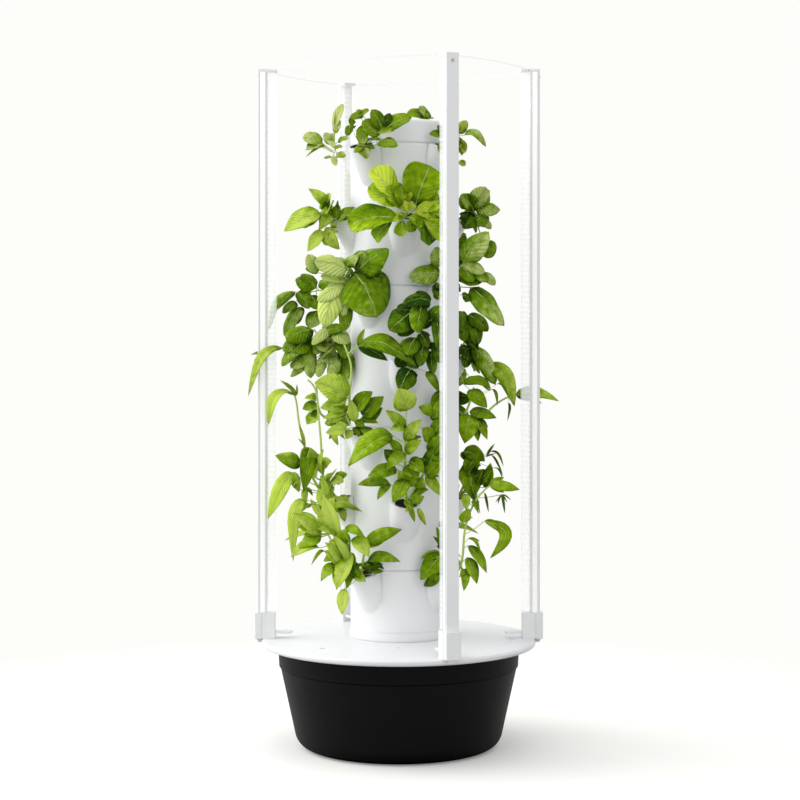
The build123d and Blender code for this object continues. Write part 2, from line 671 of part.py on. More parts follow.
# Plants: each leaf is (share of the stem where it grows, tip, width). A tip is (right, towards
# the viewer, up) from the port's mouth, as the plant is seen from its heading.
# Each plant is its heading, or None for its own port's, then its stem's top and its leaves.
SEEDLING = (
    None,
    (0, 8, 34),
    (
        (0.9, (34, 40, 70), 24),
        (0.9, (-36, 34, 62), 24),
        (0.8, (50, 48, 14), 22),
        (0.8, (-48, 52, 8), 22),
    ),
)
LETTUCE = (
    None,
    (0, 8, 26),
    (
        (0.9, (52, 44, 98), 70),
        (0.9, (-58, 40, 92), 62),
        (0.7, (84, 70, 4), 62),
        (0.7, (-86, 66, 0), 58),
        (0.6, (0, 104, 20), 56),
    ),
)
BASIL = (
    None,
    (0, 40, 96),
    (
        (1.0, (44, 62, 140), 44),
        (1.0, (-46, 66, 136), 42),
        (0.7, (70, 84, 70), 42),
        (0.7, (-70, 80, 66), 40),
        (0.4, (38, 92, 0), 38),
        (0.4, (-40, 96, -4), 36),
    ),
)
HERB = (
    None,
    (0, 44, 110),
    (
        (1.0, (56, 96, 150), 16),
        (1.0, (-52, 104, 140), 16),
        (0.7, (86, 108, 76), 15),
        (0.7, (-88, 100, 70), 15),
        (0.4, (60, 120, -20), 14),
        (0.4, (-54, 124, -30), 14),
    ),
)
PLANTS = (
    # Row 1, at the base's seam
    (
        (
            0,
            (10, 40, 52),
            (
                (1.0, (90, 52, 38), 22),
                (1.0, (84, 40, 96), 20),
                (0.9, (30, 60, 82), 20),
                (0.9, (-26, 66, 100), 20),
                (0.6, (-72, 62, 60), 18),
                (0.5, (-44, 70, -74), 22),
            ),
        ),
        (
            0,
            (10, 34, 60),
            (
                (1.0, (78, 22, 40), 20),
                (1.0, (30, 60, 104), 20),
                (0.6, (-46, 66, -22), 26),
                (0.6, (66, 40, -30), 20),
            ),
        ),
        HERB,
        (
            0,
            (-44, -10, 66),
            (
                (1.0, (-150, -16, 60), 18),
                (1.0, (-120, -44, 124), 18),
                (0.7, (-128, 20, -10), 18),
                (0.6, (-64, -80, -40), 16),
            ),
        ),
    ),
    # Row 2, half way up section 1
    (
        (
            0,
            (2, 42, 150),
            (
                (1.0, (72, 62, 168), 30),
                (1.0, (-28, 66, 196), 28),
                (0.8, (-100, 62, 56), 26),
                (0.7, (70, 70, 60), 28),
                (0.3, (-62, 78, 20), 24),
                (0.25, (40, 80, -34), 22),
            ),
        ),
        (
            0,
            (44, -6, 70),
            (
                (1.0, (142, 0, 22), 20),
                (1.0, (70, -44, 116), 20),
                (0.6, (112, 30, -70), 18),
                (0.7, (96, -60, 30), 18),
            ),
        ),
        HERB,
        (
            0,
            (-40, 4, 80),
            (
                (1.0, (-156, 30, 20), 20),
                (1.0, (-60, 30, 122), 20),
                (0.6, (-124, 40, -60), 20),
                (0.7, (-132, -40, 84), 18),
            ),
        ),
    ),
    # Row 3, at the seam of sections 1 and 2
    (
        (
            0,
            (4, 36, 40),
            (
                (1.0, (-26, 64, -62), 40),
                (1.0, (24, 52, 62), 26),
                (0.9, (-40, 50, 72), 26),
                (0.8, (-76, 58, 34), 26),
                (0.8, (60, 50, 40), 24),
            ),
        ),
        (
            0,
            (22, 26, 40),
            (
                (1.0, (84, 22, 26), 28),
                (1.0, (6, 60, 72), 26),
                (0.7, (104, 30, -40), 26),
                (0.6, (40, 64, -50), 26),
            ),
        ),
        BASIL,
        (
            0,
            (-40, -10, 40),
            (
                (1.0, (-150, -30, -40), 20),
                (1.0, (-130, -20, 26), 22),
                (0.8, (-80, -40, 76), 22),
                (0.6, (-96, -60, -100), 20),
            ),
        ),
    ),
    # Row 4, half way up section 2
    (
        (
            0,
            (6, 40, 80),
            (
                (1.0, (76, 62, 128), 56),
                (1.0, (12, 60, 142), 50),
                (0.8, (-34, 66, 92), 44),
                (0.6, (-104, 66, 44), 44),
                (0.5, (74, 72, 50), 44),
                (0.3, (-6, 72, -84), 44),
            ),
        ),
        (
            0,
            (40, -10, 40),
            (
                (1.0, (100, -6, 84), 36),
                (0.9, (124, 30, -44), 30),
                (0.9, (238, -66, -62), 24),
                (0.7, (50, -50, -70), 30),
                (0.7, (40, -60, 70), 30),
            ),
        ),
        BASIL,
        (
            0,
            (-40, 6, 36),
            (
                (1.0, (-214, -92, -60), 22),
                (0.9, (-92, 22, 30), 40),
                (0.8, (-150, 26, -120), 20),
                (0.6, (-44, 48, -70), 44),
                (0.7, (-60, -60, 60), 36),
            ),
        ),
    ),
    # Row 5, at the seam of sections 2 and 3
    (
        (
            0,
            (0, 38, 24),
            (
                (0.9, (58, 54, 80), 46),
                (0.8, (68, 66, -24), 66),
                (0.9, (-70, 62, 68), 54),
                (0.8, (-100, 66, -24), 56),
                (0.6, (-30, 86, -70), 44),
            ),
        ),
        (
            0,
            (26, 26, 30),
            (
                (1.0, (110, 30, 22), 44),
                (1.0, (40, 56, 78), 40),
                (0.7, (92, 50, -56), 44),
                (0.7, (16, 76, -40), 40),
            ),
        ),
        BASIL,
        (
            0,
            (-50, -8, 26),
            (
                (1.0, (-150, 6, -24), 46),
                (1.0, (-112, -30, 40), 44),
                (0.8, (-104, 20, -84), 44),
                (0.6, (-70, -70, 20), 44),
            ),
        ),
    ),
    # Row 6, half way up section 3
    (
        (
            0,
            (2, 34, 20),
            (
                (0.9, (54, 54, 106), 84),
                (0.9, (-66, 50, 100), 54),
                (0.7, (-126, 48, -8), 54),
                (0.7, (76, 66, -22), 76),
                (0.5, (-14, 80, -38), 36),
            ),
        ),
        (
            0,
            (36, -6, 26),
            (
                (1.0, (96, 6, 26), 40),
                (1.0, (52, -36, 76), 34),
                (0.7, (80, 26, -70), 36),
                (0.7, (62, -66, -20), 34),
            ),
        ),
        LETTUCE,
        (
            0,
            (-36, 6, 26),
            (
                (1.0, (-122, 10, -4), 34),
                (1.0, (-54, 30, 70), 34),
                (0.7, (-78, 34, -62), 32),
                (0.8, (-70, -60, 40), 34),
            ),
        ),
    ),
    # Row 7, under the cap
    (
        (
            0,
            (0, 34, 26),
            (
                (1.0, (24, 46, 78), 30),
                (1.0, (108, 44, 58), 36),
                (0.8, (76, 56, -2), 20),
                (0.9, (-28, 50, 62), 24),
                (0.7, (-54, 60, -24), 22),
            ),
        ),
        (
            0,
            (20, 24, 24),
            (
                (1.0, (86, 22, 20), 26),
                (1.0, (54, 40, 56), 24),
                (0.8, (44, 56, -46), 22),
                (0.9, (-28, 60, 48), 22),
            ),
        ),
        SEEDLING,
        (
            0,
            (-36, -8, 22),
            (
                (1.0, (-112, -4, 42), 24),
                (1.0, (-40, -30, 104), 24),
                (0.8, (-96, -30, 2), 22),
                (0.7, (-62, 26, -26), 22),
            ),
        ),
    ),
)


def stalk(start, end, foot, tip):
    """A tapered square stem from one point to another."""
    run = end - start
    low = Plane(origin=start, z_dir=run) * Rectangle(foot, foot)
    high = Plane(origin=end, z_dir=run) * Rectangle(tip, tip)
    return loft([low, high], ruled=True)


def leaf(start, tip, width):
    """A leaf plate from its stem to its tip that faces up and out."""
    run = tip - start
    length = run.length
    outward = Vector(start.X, start.Y, 0).normalized()
    face = outward * LEAF_LEAN + Vector(0, 0, 1)
    across = face.cross(run).normalized()
    plane = Plane(origin=start, x_dir=run, z_dir=run.cross(across))
    half = width / 2
    edge = [
        (-STEM_TIP, 0),
        (LEAF_NEAR * length, LEAF_NEAR_SHARE * half),
        (LEAF_FAR * length, half),
        (length, 0),
        (LEAF_FAR * length, -half),
        (LEAF_NEAR * length, -LEAF_NEAR_SHARE * half),
    ]
    return extrude(plane * make_face(Polyline(*edge, close=True)), LEAF_THICK / 2, both=True)


def plant(row, place):
    """One plant as a single solid, rooted on the plug of its port."""
    heading, stem_top, leaves = PLANTS[row][place]
    lip, turn = ROWS[row]
    angle = turn + 360 / PORTS_ROUND * place
    mouth = at(MOUTH_CENTRE_R, angle, lip + MOUTH_CENTRE_RISE)
    seen = turned(angle if heading is None else heading)

    def spot(offset):
        right, near, up = offset
        turn_back = seen * Pos(right, -near, up)
        return mouth + Vector(turn_back.position)

    tilt = radians(MOUTH_TILT)
    normal = at(sin(tilt), angle, cos(tilt))
    crown = mouth + normal * STEM_RISE
    top = spot(stem_top)
    post = Pos(0, 0, -PLUG_DROP) * extrude(Rectangle(STEM_FOOT, STEM_FOOT), STEM_RISE + PLUG_DROP)
    seat = mouth_plane(lip, MOUTH_CENTRE_R) * post
    foot = turned(angle) * seat
    stem = stalk(crown - normal * STEM_TIP, top, STEM_CROWN, STEM_TIP)
    blades = [leaf(crown + (top - crown) * share, spot(tip), width) for share, tip, width in leaves]
    return foot + ([stem] + blades)


save("reservoir", reservoir())
save("reservoir_lid", reservoir_lid())
save("access_cover", access_cover())
save("cover_pivot_screw", cover_pivot_screw())
save("cord_gland", cord_gland())
save("pump_body", pump_body())
save("pump_impeller", pump_impeller())
save("pump_intake_cover", pump_intake_cover())
save("pump_feet", *pump_feet())
save("riser_tube", tube(RISER_R, RISER_R - RISER_WALL, RISER_LOW, RISER_TOP))
save("drip_distributor", drip_distributor())
save("tower_base", tower_base())
for index in range(1, SECTIONS + 1):
    save(f"tower_section_{index}", tower_section(index))
save("top_cap", top_cap())
for row in range(len(ROWS)):
    save(f"net_cups_row_{row + 1}", *in_ports(row, net_cup()))
    save(f"grow_plugs_row_{row + 1}", *in_ports(row, grow_plug()))
    save(f"plants_row_{row + 1}", *[plant(row, place) for place in range(PORTS_ROUND)])
for side, angle in POST_ANGLES.items():
    save(f"light_channel_{side}", turned(angle) * light_channel())
    save(f"light_lens_{side}", turned(angle) * light_lens())
    save(f"led_strip_{side}", turned(angle) * led_strip())
    save(f"post_end_cap_{side}", turned(angle) * post_end_cap())
    save(f"post_socket_{side}", turned(angle) * post_socket())
save("post_screws", *[turned(angle) * post_screw() for angle in POST_ANGLES.values()])
save("top_tie_rods", *top_tie_rods())
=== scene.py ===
import bmesh
import bpy
import math
import random
from collections import namedtuple
from mathutils import Matrix, Vector, noise


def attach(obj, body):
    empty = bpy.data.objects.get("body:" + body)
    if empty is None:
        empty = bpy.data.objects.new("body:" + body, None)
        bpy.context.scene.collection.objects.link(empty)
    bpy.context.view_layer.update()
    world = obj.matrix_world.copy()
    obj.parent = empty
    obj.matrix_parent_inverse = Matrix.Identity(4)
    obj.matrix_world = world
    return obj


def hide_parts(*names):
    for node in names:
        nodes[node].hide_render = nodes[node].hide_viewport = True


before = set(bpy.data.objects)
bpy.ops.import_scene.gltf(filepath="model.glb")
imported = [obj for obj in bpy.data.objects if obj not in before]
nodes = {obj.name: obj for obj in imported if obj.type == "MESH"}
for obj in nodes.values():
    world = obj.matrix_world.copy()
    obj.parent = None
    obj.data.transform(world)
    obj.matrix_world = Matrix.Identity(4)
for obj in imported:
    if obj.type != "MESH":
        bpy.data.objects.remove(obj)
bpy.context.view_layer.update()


# Reservoir: the black water tub, moulded in one piece from polypropylene with a matt grain.
# It stands on its flat foot, and the band under its rim stiffens it where the lid rests.
MM = 0.001


def linear(code):
    """Linear colour of an sRGB hex value."""
    parts = [int(code[k : k + 2], 16) / 255 for k in (1, 3, 5)]
    return [p / 12.92 if p <= 0.04045 else ((p + 0.055) / 1.055) ** 2.4 for p in parts] + [1.0]


def add(tree, kind, inputs=None, **settings):
    """Add a node with its settings, and fill its inputs with plain values or with links."""
    node = tree.nodes.new(kind)
    for name, value in settings.items():
        setattr(node, name, value)
    for name, value in (inputs or {}).items():
        if isinstance(value, bpy.types.NodeSocket):
            tree.links.new(value, node.inputs[name])
        else:
            node.inputs[name].default_value = value
    return node


def surface(name, sockets):
    """A new material and its tree and shader, with plain values set on the shader's sockets."""
    material = bpy.data.materials.new(name)
    material.use_nodes = True
    shader = material.node_tree.nodes["Principled BSDF"]
    for socket, value in sockets.items():
        shader.inputs[socket].default_value = value
    return material, material.node_tree, shader


def moulded(name, dark, pale, cloud, grain, depth, sockets, soft=1 * MM):
    """Moulded or coated surface: two close tones in soft clouds, a grain, and softened edges.

    The grain is really under 1 mm. It is drawn at 1.5 to 3 mm so that it shows.
    """
    material, tree, shader = surface(name, sockets)
    place = add(tree, "ShaderNodeTexCoord").outputs["Object"]
    clouds = add(tree, "ShaderNodeTexNoise", {"Vector": place, "Scale": 1 / cloud, "Detail": 3.0})
    tones = add(tree, "ShaderNodeMix", {"Factor": clouds.outputs["Fac"]}, data_type="RGBA")
    tones.inputs[6].default_value = linear(dark)
    tones.inputs[7].default_value = linear(pale)
    tree.links.new(tones.outputs[2], shader.inputs["Base Color"])
    fine = add(tree, "ShaderNodeTexNoise", {"Vector": place, "Scale": 1 / grain, "Detail": 2.0})
    gloss = sockets["Roughness"]
    rough = add(
        tree,
        "ShaderNodeMapRange",
        {"Value": clouds.outputs["Fac"], "To Min": gloss - 0.06, "To Max": gloss + 0.06},
    )
    tree.links.new(rough.outputs["Result"], shader.inputs["Roughness"])
    rounded = add(tree, "ShaderNodeBevel", {"Radius": soft}, samples=8)
    bump = add(
        tree,
        "ShaderNodeBump",
        {
            "Height": fine.outputs["Fac"],
            "Strength": 0.5,
            "Distance": depth,
            "Normal": rounded.outputs["Normal"],
        },
    )
    tree.links.new(bump.outputs["Normal"], shader.inputs["Normal"])
    return material


def dress(material, *names):
    """Give CAD nodes their finish."""
    for name in names:
        nodes[name].data.materials.clear()
        nodes[name].data.materials.append(material)


# Black polypropylene with a spark-eroded mould grain: no clear reflections, only a soft sheen.
# The sheen is cut on faces that look down: painted shade, which draws a dark line under the band and
# darkens the foot.
TUB_SHEEN = 0.08
tub_black = moulded(
    "matt_black_polypropylene",
    "#030304",
    "#060607",
    cloud=90 * MM,
    grain=3 * MM,
    depth=0.2 * MM,
    sockets={"Roughness": 0.55, "IOR": 1.49, "Specular IOR Level": TUB_SHEEN},
)
tree = tub_black.node_tree
shader = tree.nodes["Principled BSDF"]
# Painted shade: the sheen is taken away on faces that look down, under the band and at the foot.
normal = add(tree, "ShaderNodeNewGeometry").outputs["Normal"]
tilt = add(tree, "ShaderNodeSeparateXYZ", {"Vector": normal}).outputs["Z"]
sheen_cut_for_shade = add(
    tree,
    "ShaderNodeMapRange",
    {"Value": tilt, "From Min": -0.85, "From Max": -0.2, "To Min": 0.0, "To Max": TUB_SHEEN},
)
tree.links.new(sheen_cut_for_shade.outputs["Result"], shader.inputs["Specular IOR Level"])
dress(tub_black, "reservoir")


# Lid: the round white crowned plate on the tub's rim, moulded in ABS, with drain dimples.
# The swinging cover of its filling port turns on a shoulder screw behind the column.

# Satin white ABS from a textured mould: a cool white with wide, soft highlights.
lid_white = moulded(
    "satin_white_abs_lid",
    "#dedfe2",
    "#e5e6e9",
    cloud=120 * MM,
    grain=2.5 * MM,
    depth=0.05 * MM,
    sockets={"Roughness": 0.34, "IOR": 1.53, "Specular IOR Level": 0.4},
    soft=1.5 * MM,
)
dress(lid_white, "reservoir_lid", "access_cover")


# Column: stacked white sections and a plain cap, moulded in food-safe ABS, each with a spigot
# in the piece below. The pockets lean out of the wall, and the dish inside feeds the roots.

# Satin white ABS from a polished mould: a brighter white. The wide softening of edges lets the
# pockets shade gently into the wall.
tower_white = moulded(
    "satin_white_abs_column",
    "#e9eaec",
    "#eff0f2",
    cloud=140 * MM,
    grain=3 * MM,
    depth=0.05 * MM,
    sockets={"Roughness": 0.36, "IOR": 1.53, "Specular IOR Level": 0.4},
    soft=9 * MM,
)
dress(tower_white, "tower_base", "tower_section_1", "tower_section_2", "tower_section_3")
dress(tower_white, "top_cap", "drip_distributor")


# Net cups: black tapered cups that hang by their flanges in the mouths of the pockets.
# Thin injection moulded polypropylene, slotted so that roots grow out into the column.

# Moulded black polypropylene: a dark rim with a faint highlight.
cup_black = moulded(
    "black_polypropylene_cup",
    "#0d0d0d",
    "#141413",
    cloud=20 * MM,
    grain=1.5 * MM,
    depth=0.1 * MM,
    sockets={"Roughness": 0.5, "IOR": 1.49, "Specular IOR Level": 0.25},
)
ROWS = range(1, 8)
dress(cup_black, *[f"net_cups_row_{row}" for row in ROWS])


# Growing medium: a plug of dark coconut fibre pressed into each cup, with a crumbly domed top.
# Each is a tapered drum whose top is pushed about by noise, a little inside the cup.
MOUTH_R = 138.5 * MM
MOUTH_TILT = math.radians(16)
MOUTH_Z = [0.4114, 0.5744, 0.7364, 0.8994, 1.0614, 1.2244, 1.3864]
SEAM_ROW_TURN = -38
MID_ROW_TURN = 7
PLUG_TOP_R = 21.4 * MM
PLUG_FOOT_R = 9.4 * MM
PLUG_DEPTH = 33 * MM
PLUG_SINK = 2.2 * MM
PLUG_RINGS = 5
PLUG_DOME = 2.0 * MM
CRUMB = 1.6 * MM
LUMPS_PER_M = 160
CRUMBS_PER_M = 420


def port_angle(row, place):
    """Direction of a port round the column, in degrees from the front towards the right."""
    return (SEAM_ROW_TURN if row % 2 else MID_ROW_TURN) + 90 * place


def mouth(row, place):
    """Place and slant of a port's mouth, as one transform."""
    turn = Matrix.Rotation(math.radians(port_angle(row, place)), 4, "Z")
    out = Matrix.Translation((0, -MOUTH_R, MOUTH_Z[row - 1]))
    return turn @ out @ Matrix.Rotation(MOUTH_TILT, 4, "X")


def finish_piece(name, bm, material, body, smooth=True):
    """Make a finished mesh into a piece that rides on a body."""
    mesh = bpy.data.meshes.new(name)
    bm.to_mesh(mesh)
    bm.free()
    mesh.materials.append(material)
    mesh.polygons.foreach_set("use_smooth", [smooth] * len(mesh.polygons))
    piece = bpy.data.objects.new(name, mesh)
    bpy.context.scene.collection.objects.link(piece)
    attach(piece, body)
    return piece


# Pressed coconut fibre: dry, dull and dark, with paler crumbs of 3 mm.
medium, tree, shader = surface("coconut_fibre_medium", {"Roughness": 0.95, "Specular IOR Level": 0.1})
place = add(tree, "ShaderNodeTexCoord").outputs["Object"]
crumb = add(tree, "ShaderNodeTexNoise", {"Vector": place, "Scale": 1 / (3 * MM), "Detail": 5.0})
tones = add(tree, "ShaderNodeValToRGB", {"Fac": crumb.outputs["Fac"]})
tones.color_ramp.elements[0].color = linear("#0b0806")
tones.color_ramp.elements[0].position = 0.35
tones.color_ramp.elements[1].color = linear("#3a2b1d")
tones.color_ramp.elements[1].position = 0.75
tree.links.new(tones.outputs["Color"], shader.inputs["Base Color"])
bump = add(tree, "ShaderNodeBump", {"Height": crumb.outputs["Fac"], "Strength": 0.9, "Distance": 1.5 * MM})
tree.links.new(bump.outputs["Normal"], shader.inputs["Normal"])

for row in ROWS:
    bm = bmesh.new()
    for port in range(4):
        drum = bmesh.ops.create_cone(
            bm,
            cap_ends=True,
            cap_tris=False,
            segments=20,
            radius1=PLUG_FOOT_R,
            radius2=PLUG_TOP_R,
            depth=PLUG_DEPTH,
            matrix=Matrix.Translation((0, 0, -PLUG_DEPTH / 2 - PLUG_SINK)),
        )
        top = [f for f in {f for v in drum["verts"] for f in v.link_faces} if f.normal.z > 0.9]
        verts = list(drum["verts"])
        for _ in range(PLUG_RINGS):
            inset = bmesh.ops.inset_region(bm, faces=top, thickness=PLUG_TOP_R / PLUG_RINGS * 0.9, depth=0)
            verts += [v for f in inset["faces"] for v in f.verts]
        verts = list({v for v in verts + [v for f in top for v in f.verts] if v.is_valid})
        seat = mouth(row, port)
        for vert in verts:
            spot = seat @ vert.co
            radius = math.hypot(vert.co.x, vert.co.y)
            on_top = vert.co.z > -PLUG_SINK - 0.1 * MM
            lump = noise.noise(spot * LUMPS_PER_M) + 0.6 * noise.noise(spot * CRUMBS_PER_M)
            if on_top and radius < PLUG_TOP_R * 0.98:
                vert.co.z += CRUMB * lump + PLUG_DOME * (1 - radius / PLUG_TOP_R)
            vert.co = seat @ vert.co
    plug = finish_piece(f"fibre_plugs_row_{row}", bm, medium, "root")
    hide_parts(f"grow_plugs_row_{row}")


# Plants: seedlings, lettuce, basil, a pepper-like plant and narrow-leaved herbs, all rooted in
# the plugs. A leaf is a grid bent along its midrib, drawn in to its outline, cupped and waved,
# and made solid; stems, stalks and ribs are tapered rods on smooth curves.
def foliage(name, shade, middle, light, vein, veins, relief):
    """Leaf: green by its own tone, with painted shade deep among others, pale veins and light through it.
    """
    material, tree, shader = surface(name, {"Roughness": 0.45, "IOR": 1.42, "Specular IOR Level": 0.07})
    tone = add(tree, "ShaderNodeAttribute", attribute_name="tone").outputs["Fac"]
    spot = add(tree, "ShaderNodeTexCoord").outputs
    mottle = add(
        tree,
        "ShaderNodeTexNoise",
        {"Vector": spot["Object"], "Scale": 1 / (14 * MM), "Detail": 3.0},
    ).outputs["Fac"]
    blotch = add(tree, "ShaderNodeMapRange", {"Value": mottle, "To Min": -0.45, "To Max": 0.45})
    # Painted shade and light: the tone falls where other leaves crowd round a leaf and rises in the open.
    open_air = add(tree, "ShaderNodeAmbientOcclusion", {"Distance": 60 * MM}, samples=6).outputs["AO"]
    depth = add(
        tree,
        "ShaderNodeMapRange",
        {"Value": open_air, "From Min": 0.2, "To Min": -0.36, "To Max": 0.16},
    )
    shift = add(tree, "ShaderNodeMath", {0: blotch.outputs[0], 1: depth.outputs[0]}, operation="ADD")
    mixed = add(tree, "ShaderNodeMath", {0: tone, 1: shift.outputs[0]}, operation="ADD", use_clamp=True)
    greens = add(tree, "ShaderNodeValToRGB", {"Fac": mixed.outputs[0]})
    greens.color_ramp.elements.new(0.6)
    for stop, code in zip(greens.color_ramp.elements, (shade, middle, light)):
        stop.color = linear(code)
    along = add(tree, "ShaderNodeSeparateXYZ", {"Vector": spot["UV"]}).outputs
    centred = add(tree, "ShaderNodeMath", {0: along["Y"], 1: 0.5}, operation="SUBTRACT")
    side = add(tree, "ShaderNodeMath", {0: centred.outputs[0]}, operation="ABSOLUTE").outputs[0]
    rib = add(
        tree,
        "ShaderNodeMapRange",
        {"Value": side, "From Min": 0.012, "From Max": 0.04, "To Min": 1.0, "To Max": 0.0},
    )
    slant = add(tree, "ShaderNodeMath", {0: side, 1: 0.75}, operation="MULTIPLY")
    branch = add(tree, "ShaderNodeMath", {0: along["X"], 1: slant.outputs[0]}, operation="SUBTRACT")
    wave = add(tree, "ShaderNodeMath", {0: branch.outputs[0], 1: float(veins)}, operation="MULTIPLY")
    saw = add(tree, "ShaderNodeMath", {0: wave.outputs[0], 1: 0.5}, operation="PINGPONG").outputs[0]
    line = add(
        tree,
        "ShaderNodeMapRange",
        {"Value": saw, "From Min": 0.02, "From Max": 0.12, "To Min": 0.42, "To Max": 0.0},
    )
    net = add(tree, "ShaderNodeMath", {0: rib.outputs[0], 1: line.outputs[0]}, operation="MAXIMUM")
    share = add(tree, "ShaderNodeMath", {0: net.outputs[0], 1: mottle}, operation="MULTIPLY").outputs[0]
    veined = add(tree, "ShaderNodeMix", {"Factor": share, 6: greens.outputs["Color"]}, data_type="RGBA")
    veined.inputs[7].default_value = linear(vein)
    tree.links.new(veined.outputs[2], shader.inputs["Base Color"])
    swell = add(tree, "ShaderNodeMath", {0: saw, 1: mottle}, operation="ADD").outputs[0]
    height = add(tree, "ShaderNodeMath", {0: swell, 1: net.outputs[0]}, operation="SUBTRACT").outputs[0]
    bump = add(tree, "ShaderNodeBump", {"Height": height, "Strength": 0.8, "Distance": relief * MM})
    normal = bump.outputs["Normal"]
    tree.links.new(normal, shader.inputs["Normal"])
    through = add(tree, "ShaderNodeBsdfTranslucent", {"Color": veined.outputs[2], "Normal": normal})
    both = add(tree, "ShaderNodeMixShader", {0: 0.4, 1: shader.outputs[0], 2: through.outputs[0]})
    tree.links.new(both.outputs[0], tree.nodes["Material Output"].inputs["Surface"])
    return material


# Fresh leaves: a waxy upper skin with a soft sheen, pale veins and a blade that swells between them.
LEAF_GREENS = {
    "seedling": foliage("seedling_leaf", "#3f6802", "#a2c614", "#f0f8a4", "#d4e694", 6, 1.8),
    "lettuce": foliage("lettuce_leaf", "#4c8000", "#b0d808", "#f2ff5c", "#e8f6a0", 7, 3.2),
    "basil": foliage("basil_leaf", "#2e5a00", "#92be0c", "#eefc98", "#cce48c", 7, 3.4),
    "pepper": foliage("pepper_leaf", "#3c6c00", "#a2cc08", "#eaff6c", "#dcf094", 9, 2.4),
    "herb": foliage("herb_leaf", "#548600", "#b4de10", "#f0ff78", "#ecf8a0", 8, 1.8),
}

# Fresh stems: smooth skin, pale green with paler streaks.
stalk, tree, shader = surface("green_stem", {"Roughness": 0.5, "IOR": 1.42, "Specular IOR Level": 0.3})
place = add(tree, "ShaderNodeTexCoord").outputs["Object"]
streak = add(tree, "ShaderNodeTexNoise", {"Vector": place, "Scale": 1 / (20 * MM), "Detail": 2.0})
tones = add(tree, "ShaderNodeMix", {"Factor": streak.outputs["Fac"]}, data_type="RGBA")
tones.inputs[6].default_value = linear("#9cbc40")
tones.inputs[7].default_value = linear("#d6e88c")
tree.links.new(tones.outputs[2], shader.inputs["Base Color"])

# Each kind of leaf: how fast it opens from its foot and closes to its tip, its fold along the
# midrib, cup and waved edge, its grid, the radius of its stem in millimetres, and its share of
# small extra leaves.
Kind = namedtuple("Kind", "opens closes fold cup wave grid stem more")
KINDS = {
    "seedling": Kind(0.55, 0.6, 0.05, 0.1, 0.05, (10, 6), 1.7, 0.6),
    "lettuce": Kind(0.7, 0.4, 0.1, 0.18, 0.12, (20, 12), 3.2, 0.3),
    "basil": Kind(0.45, 0.6, 0.1, -0.42, 0.05, (14, 8), 2.6, 1.5),
    "pepper": Kind(0.62, 0.95, 0.18, -0.05, 0.06, (14, 6), 3.9, 0.9),
    "herb": Kind(0.75, 1.0, 0.22, 0.0, 0.04, (12, 4), 3.8, 1.2),
}

SPRIGS = {row: [] for row in ROWS}


def sprig(row, port, kind, stem, leaves, to_front=True):
    """Plan a sprig in millimetres from a port's mouth, spread to the front or as the port points.

    A stem is points (right, near, up). A leaf is its foot (right, up), its tip (right, up), width
    and tone from 0 dark to 10 pale, then its arch and its sway where they aren't the usual. The
    tone is partly the leaf's own green and partly painted light: leaves lit through from the left
    are given paler tones, and leaves in shade on the right darker ones.
    """
    SPRIGS[row].append((port, kind, stem, leaves, to_front))


# Row 7, at the top: seedlings
sprig(
    7, 0, "seedling",
    stem=[(7, 22, -3), (40, 36, 21)],
    leaves=[
        (50, 28, 115, 59, 36, 2),
        (50, 30, 24, 77, 29, 1),
        (40, 18, 2, 50, 34, 3),
        (5, 65, -25, 57, 19, 3),
        (-1, 62, 19, 76, 14, 3),
        (-24, 46, -32, 20, 17, 3),
        (33, 25, 76, 30, 17, 4),
        (51, 8, 79, -1, 17, 4),
        (7, -4, -16, -19, 15, 4),
        (7, -6, 13, -34, 17, 5),
        (7, -4, 31, -11, 12, 2),
        (4, -3, 0, 42, 24, 4),
        (36, -2, 84, -6, 20, 4),
        (-8, -8, 14, -30, 18, 5),
        (-14, 36, -26, 58, 14, 3),
        (16, 8, 46, 9, 11, 2),
    ],
)
sprig(
    7, 3, "seedling",
    stem=[(-27, -8, -7), (-43, -2, 0), (-44, 0, 32)],
    leaves=[
        (-44, 57, -22, 115, 21, 8),
        (-42, 46, -30, 77, 19, 6),
        (-72, 21, -119, 34, 34, 6),
        (-68, 20, -109, 11, 23, 5),
        (-72, 14, -110, -11, 8, 7),
        (-52, 18, -67, 46, 20, 6),
        (-52, 21, -46, 46, 16, 6),
        (-35, 25, -9, 32, 22, 5),
        (-38, -12, -15, -9, 19, 6),
        (-47, -11, -38, -34, 14, 8),
        (-52, -12, -68, -15, 8, 8),
        (-43, 7, -59, 28, 14, 7),
        (-66, 14, -112, 4, 14, 6),
        (-42, 11, -24, 11, 14, 6),
    ],
)
sprig(
    7, 2, "seedling",
    stem=[(-8, -20, 45), (-14, -18, 82)],
    leaves=[(-14, 84, -66, 98, 32, 2), (-19, 84, -37, 114, 27, 5), (-15, 84, -1, 86, 8, 5)],
)
sprig(
    7, 1, "seedling",
    stem=[(13, 12, 16), (27, 16, 23)],
    leaves=[
        (-2, 23, -40, 27, 21, 2),
        (-4, 13, -18, -16, 17, 2),
        (30, 27, 46, 57, 22, 4),
        (40, 25, 89, -3, 21, 4, 0.35),
        (30, 13, 37, -20, 20, 4),
        (27, -38, 42, -47, 15, 4),
        (-4, 16, -21, 47, 15, 2),
        (27, 20, 34, -25, 14, 4),
    ],
)

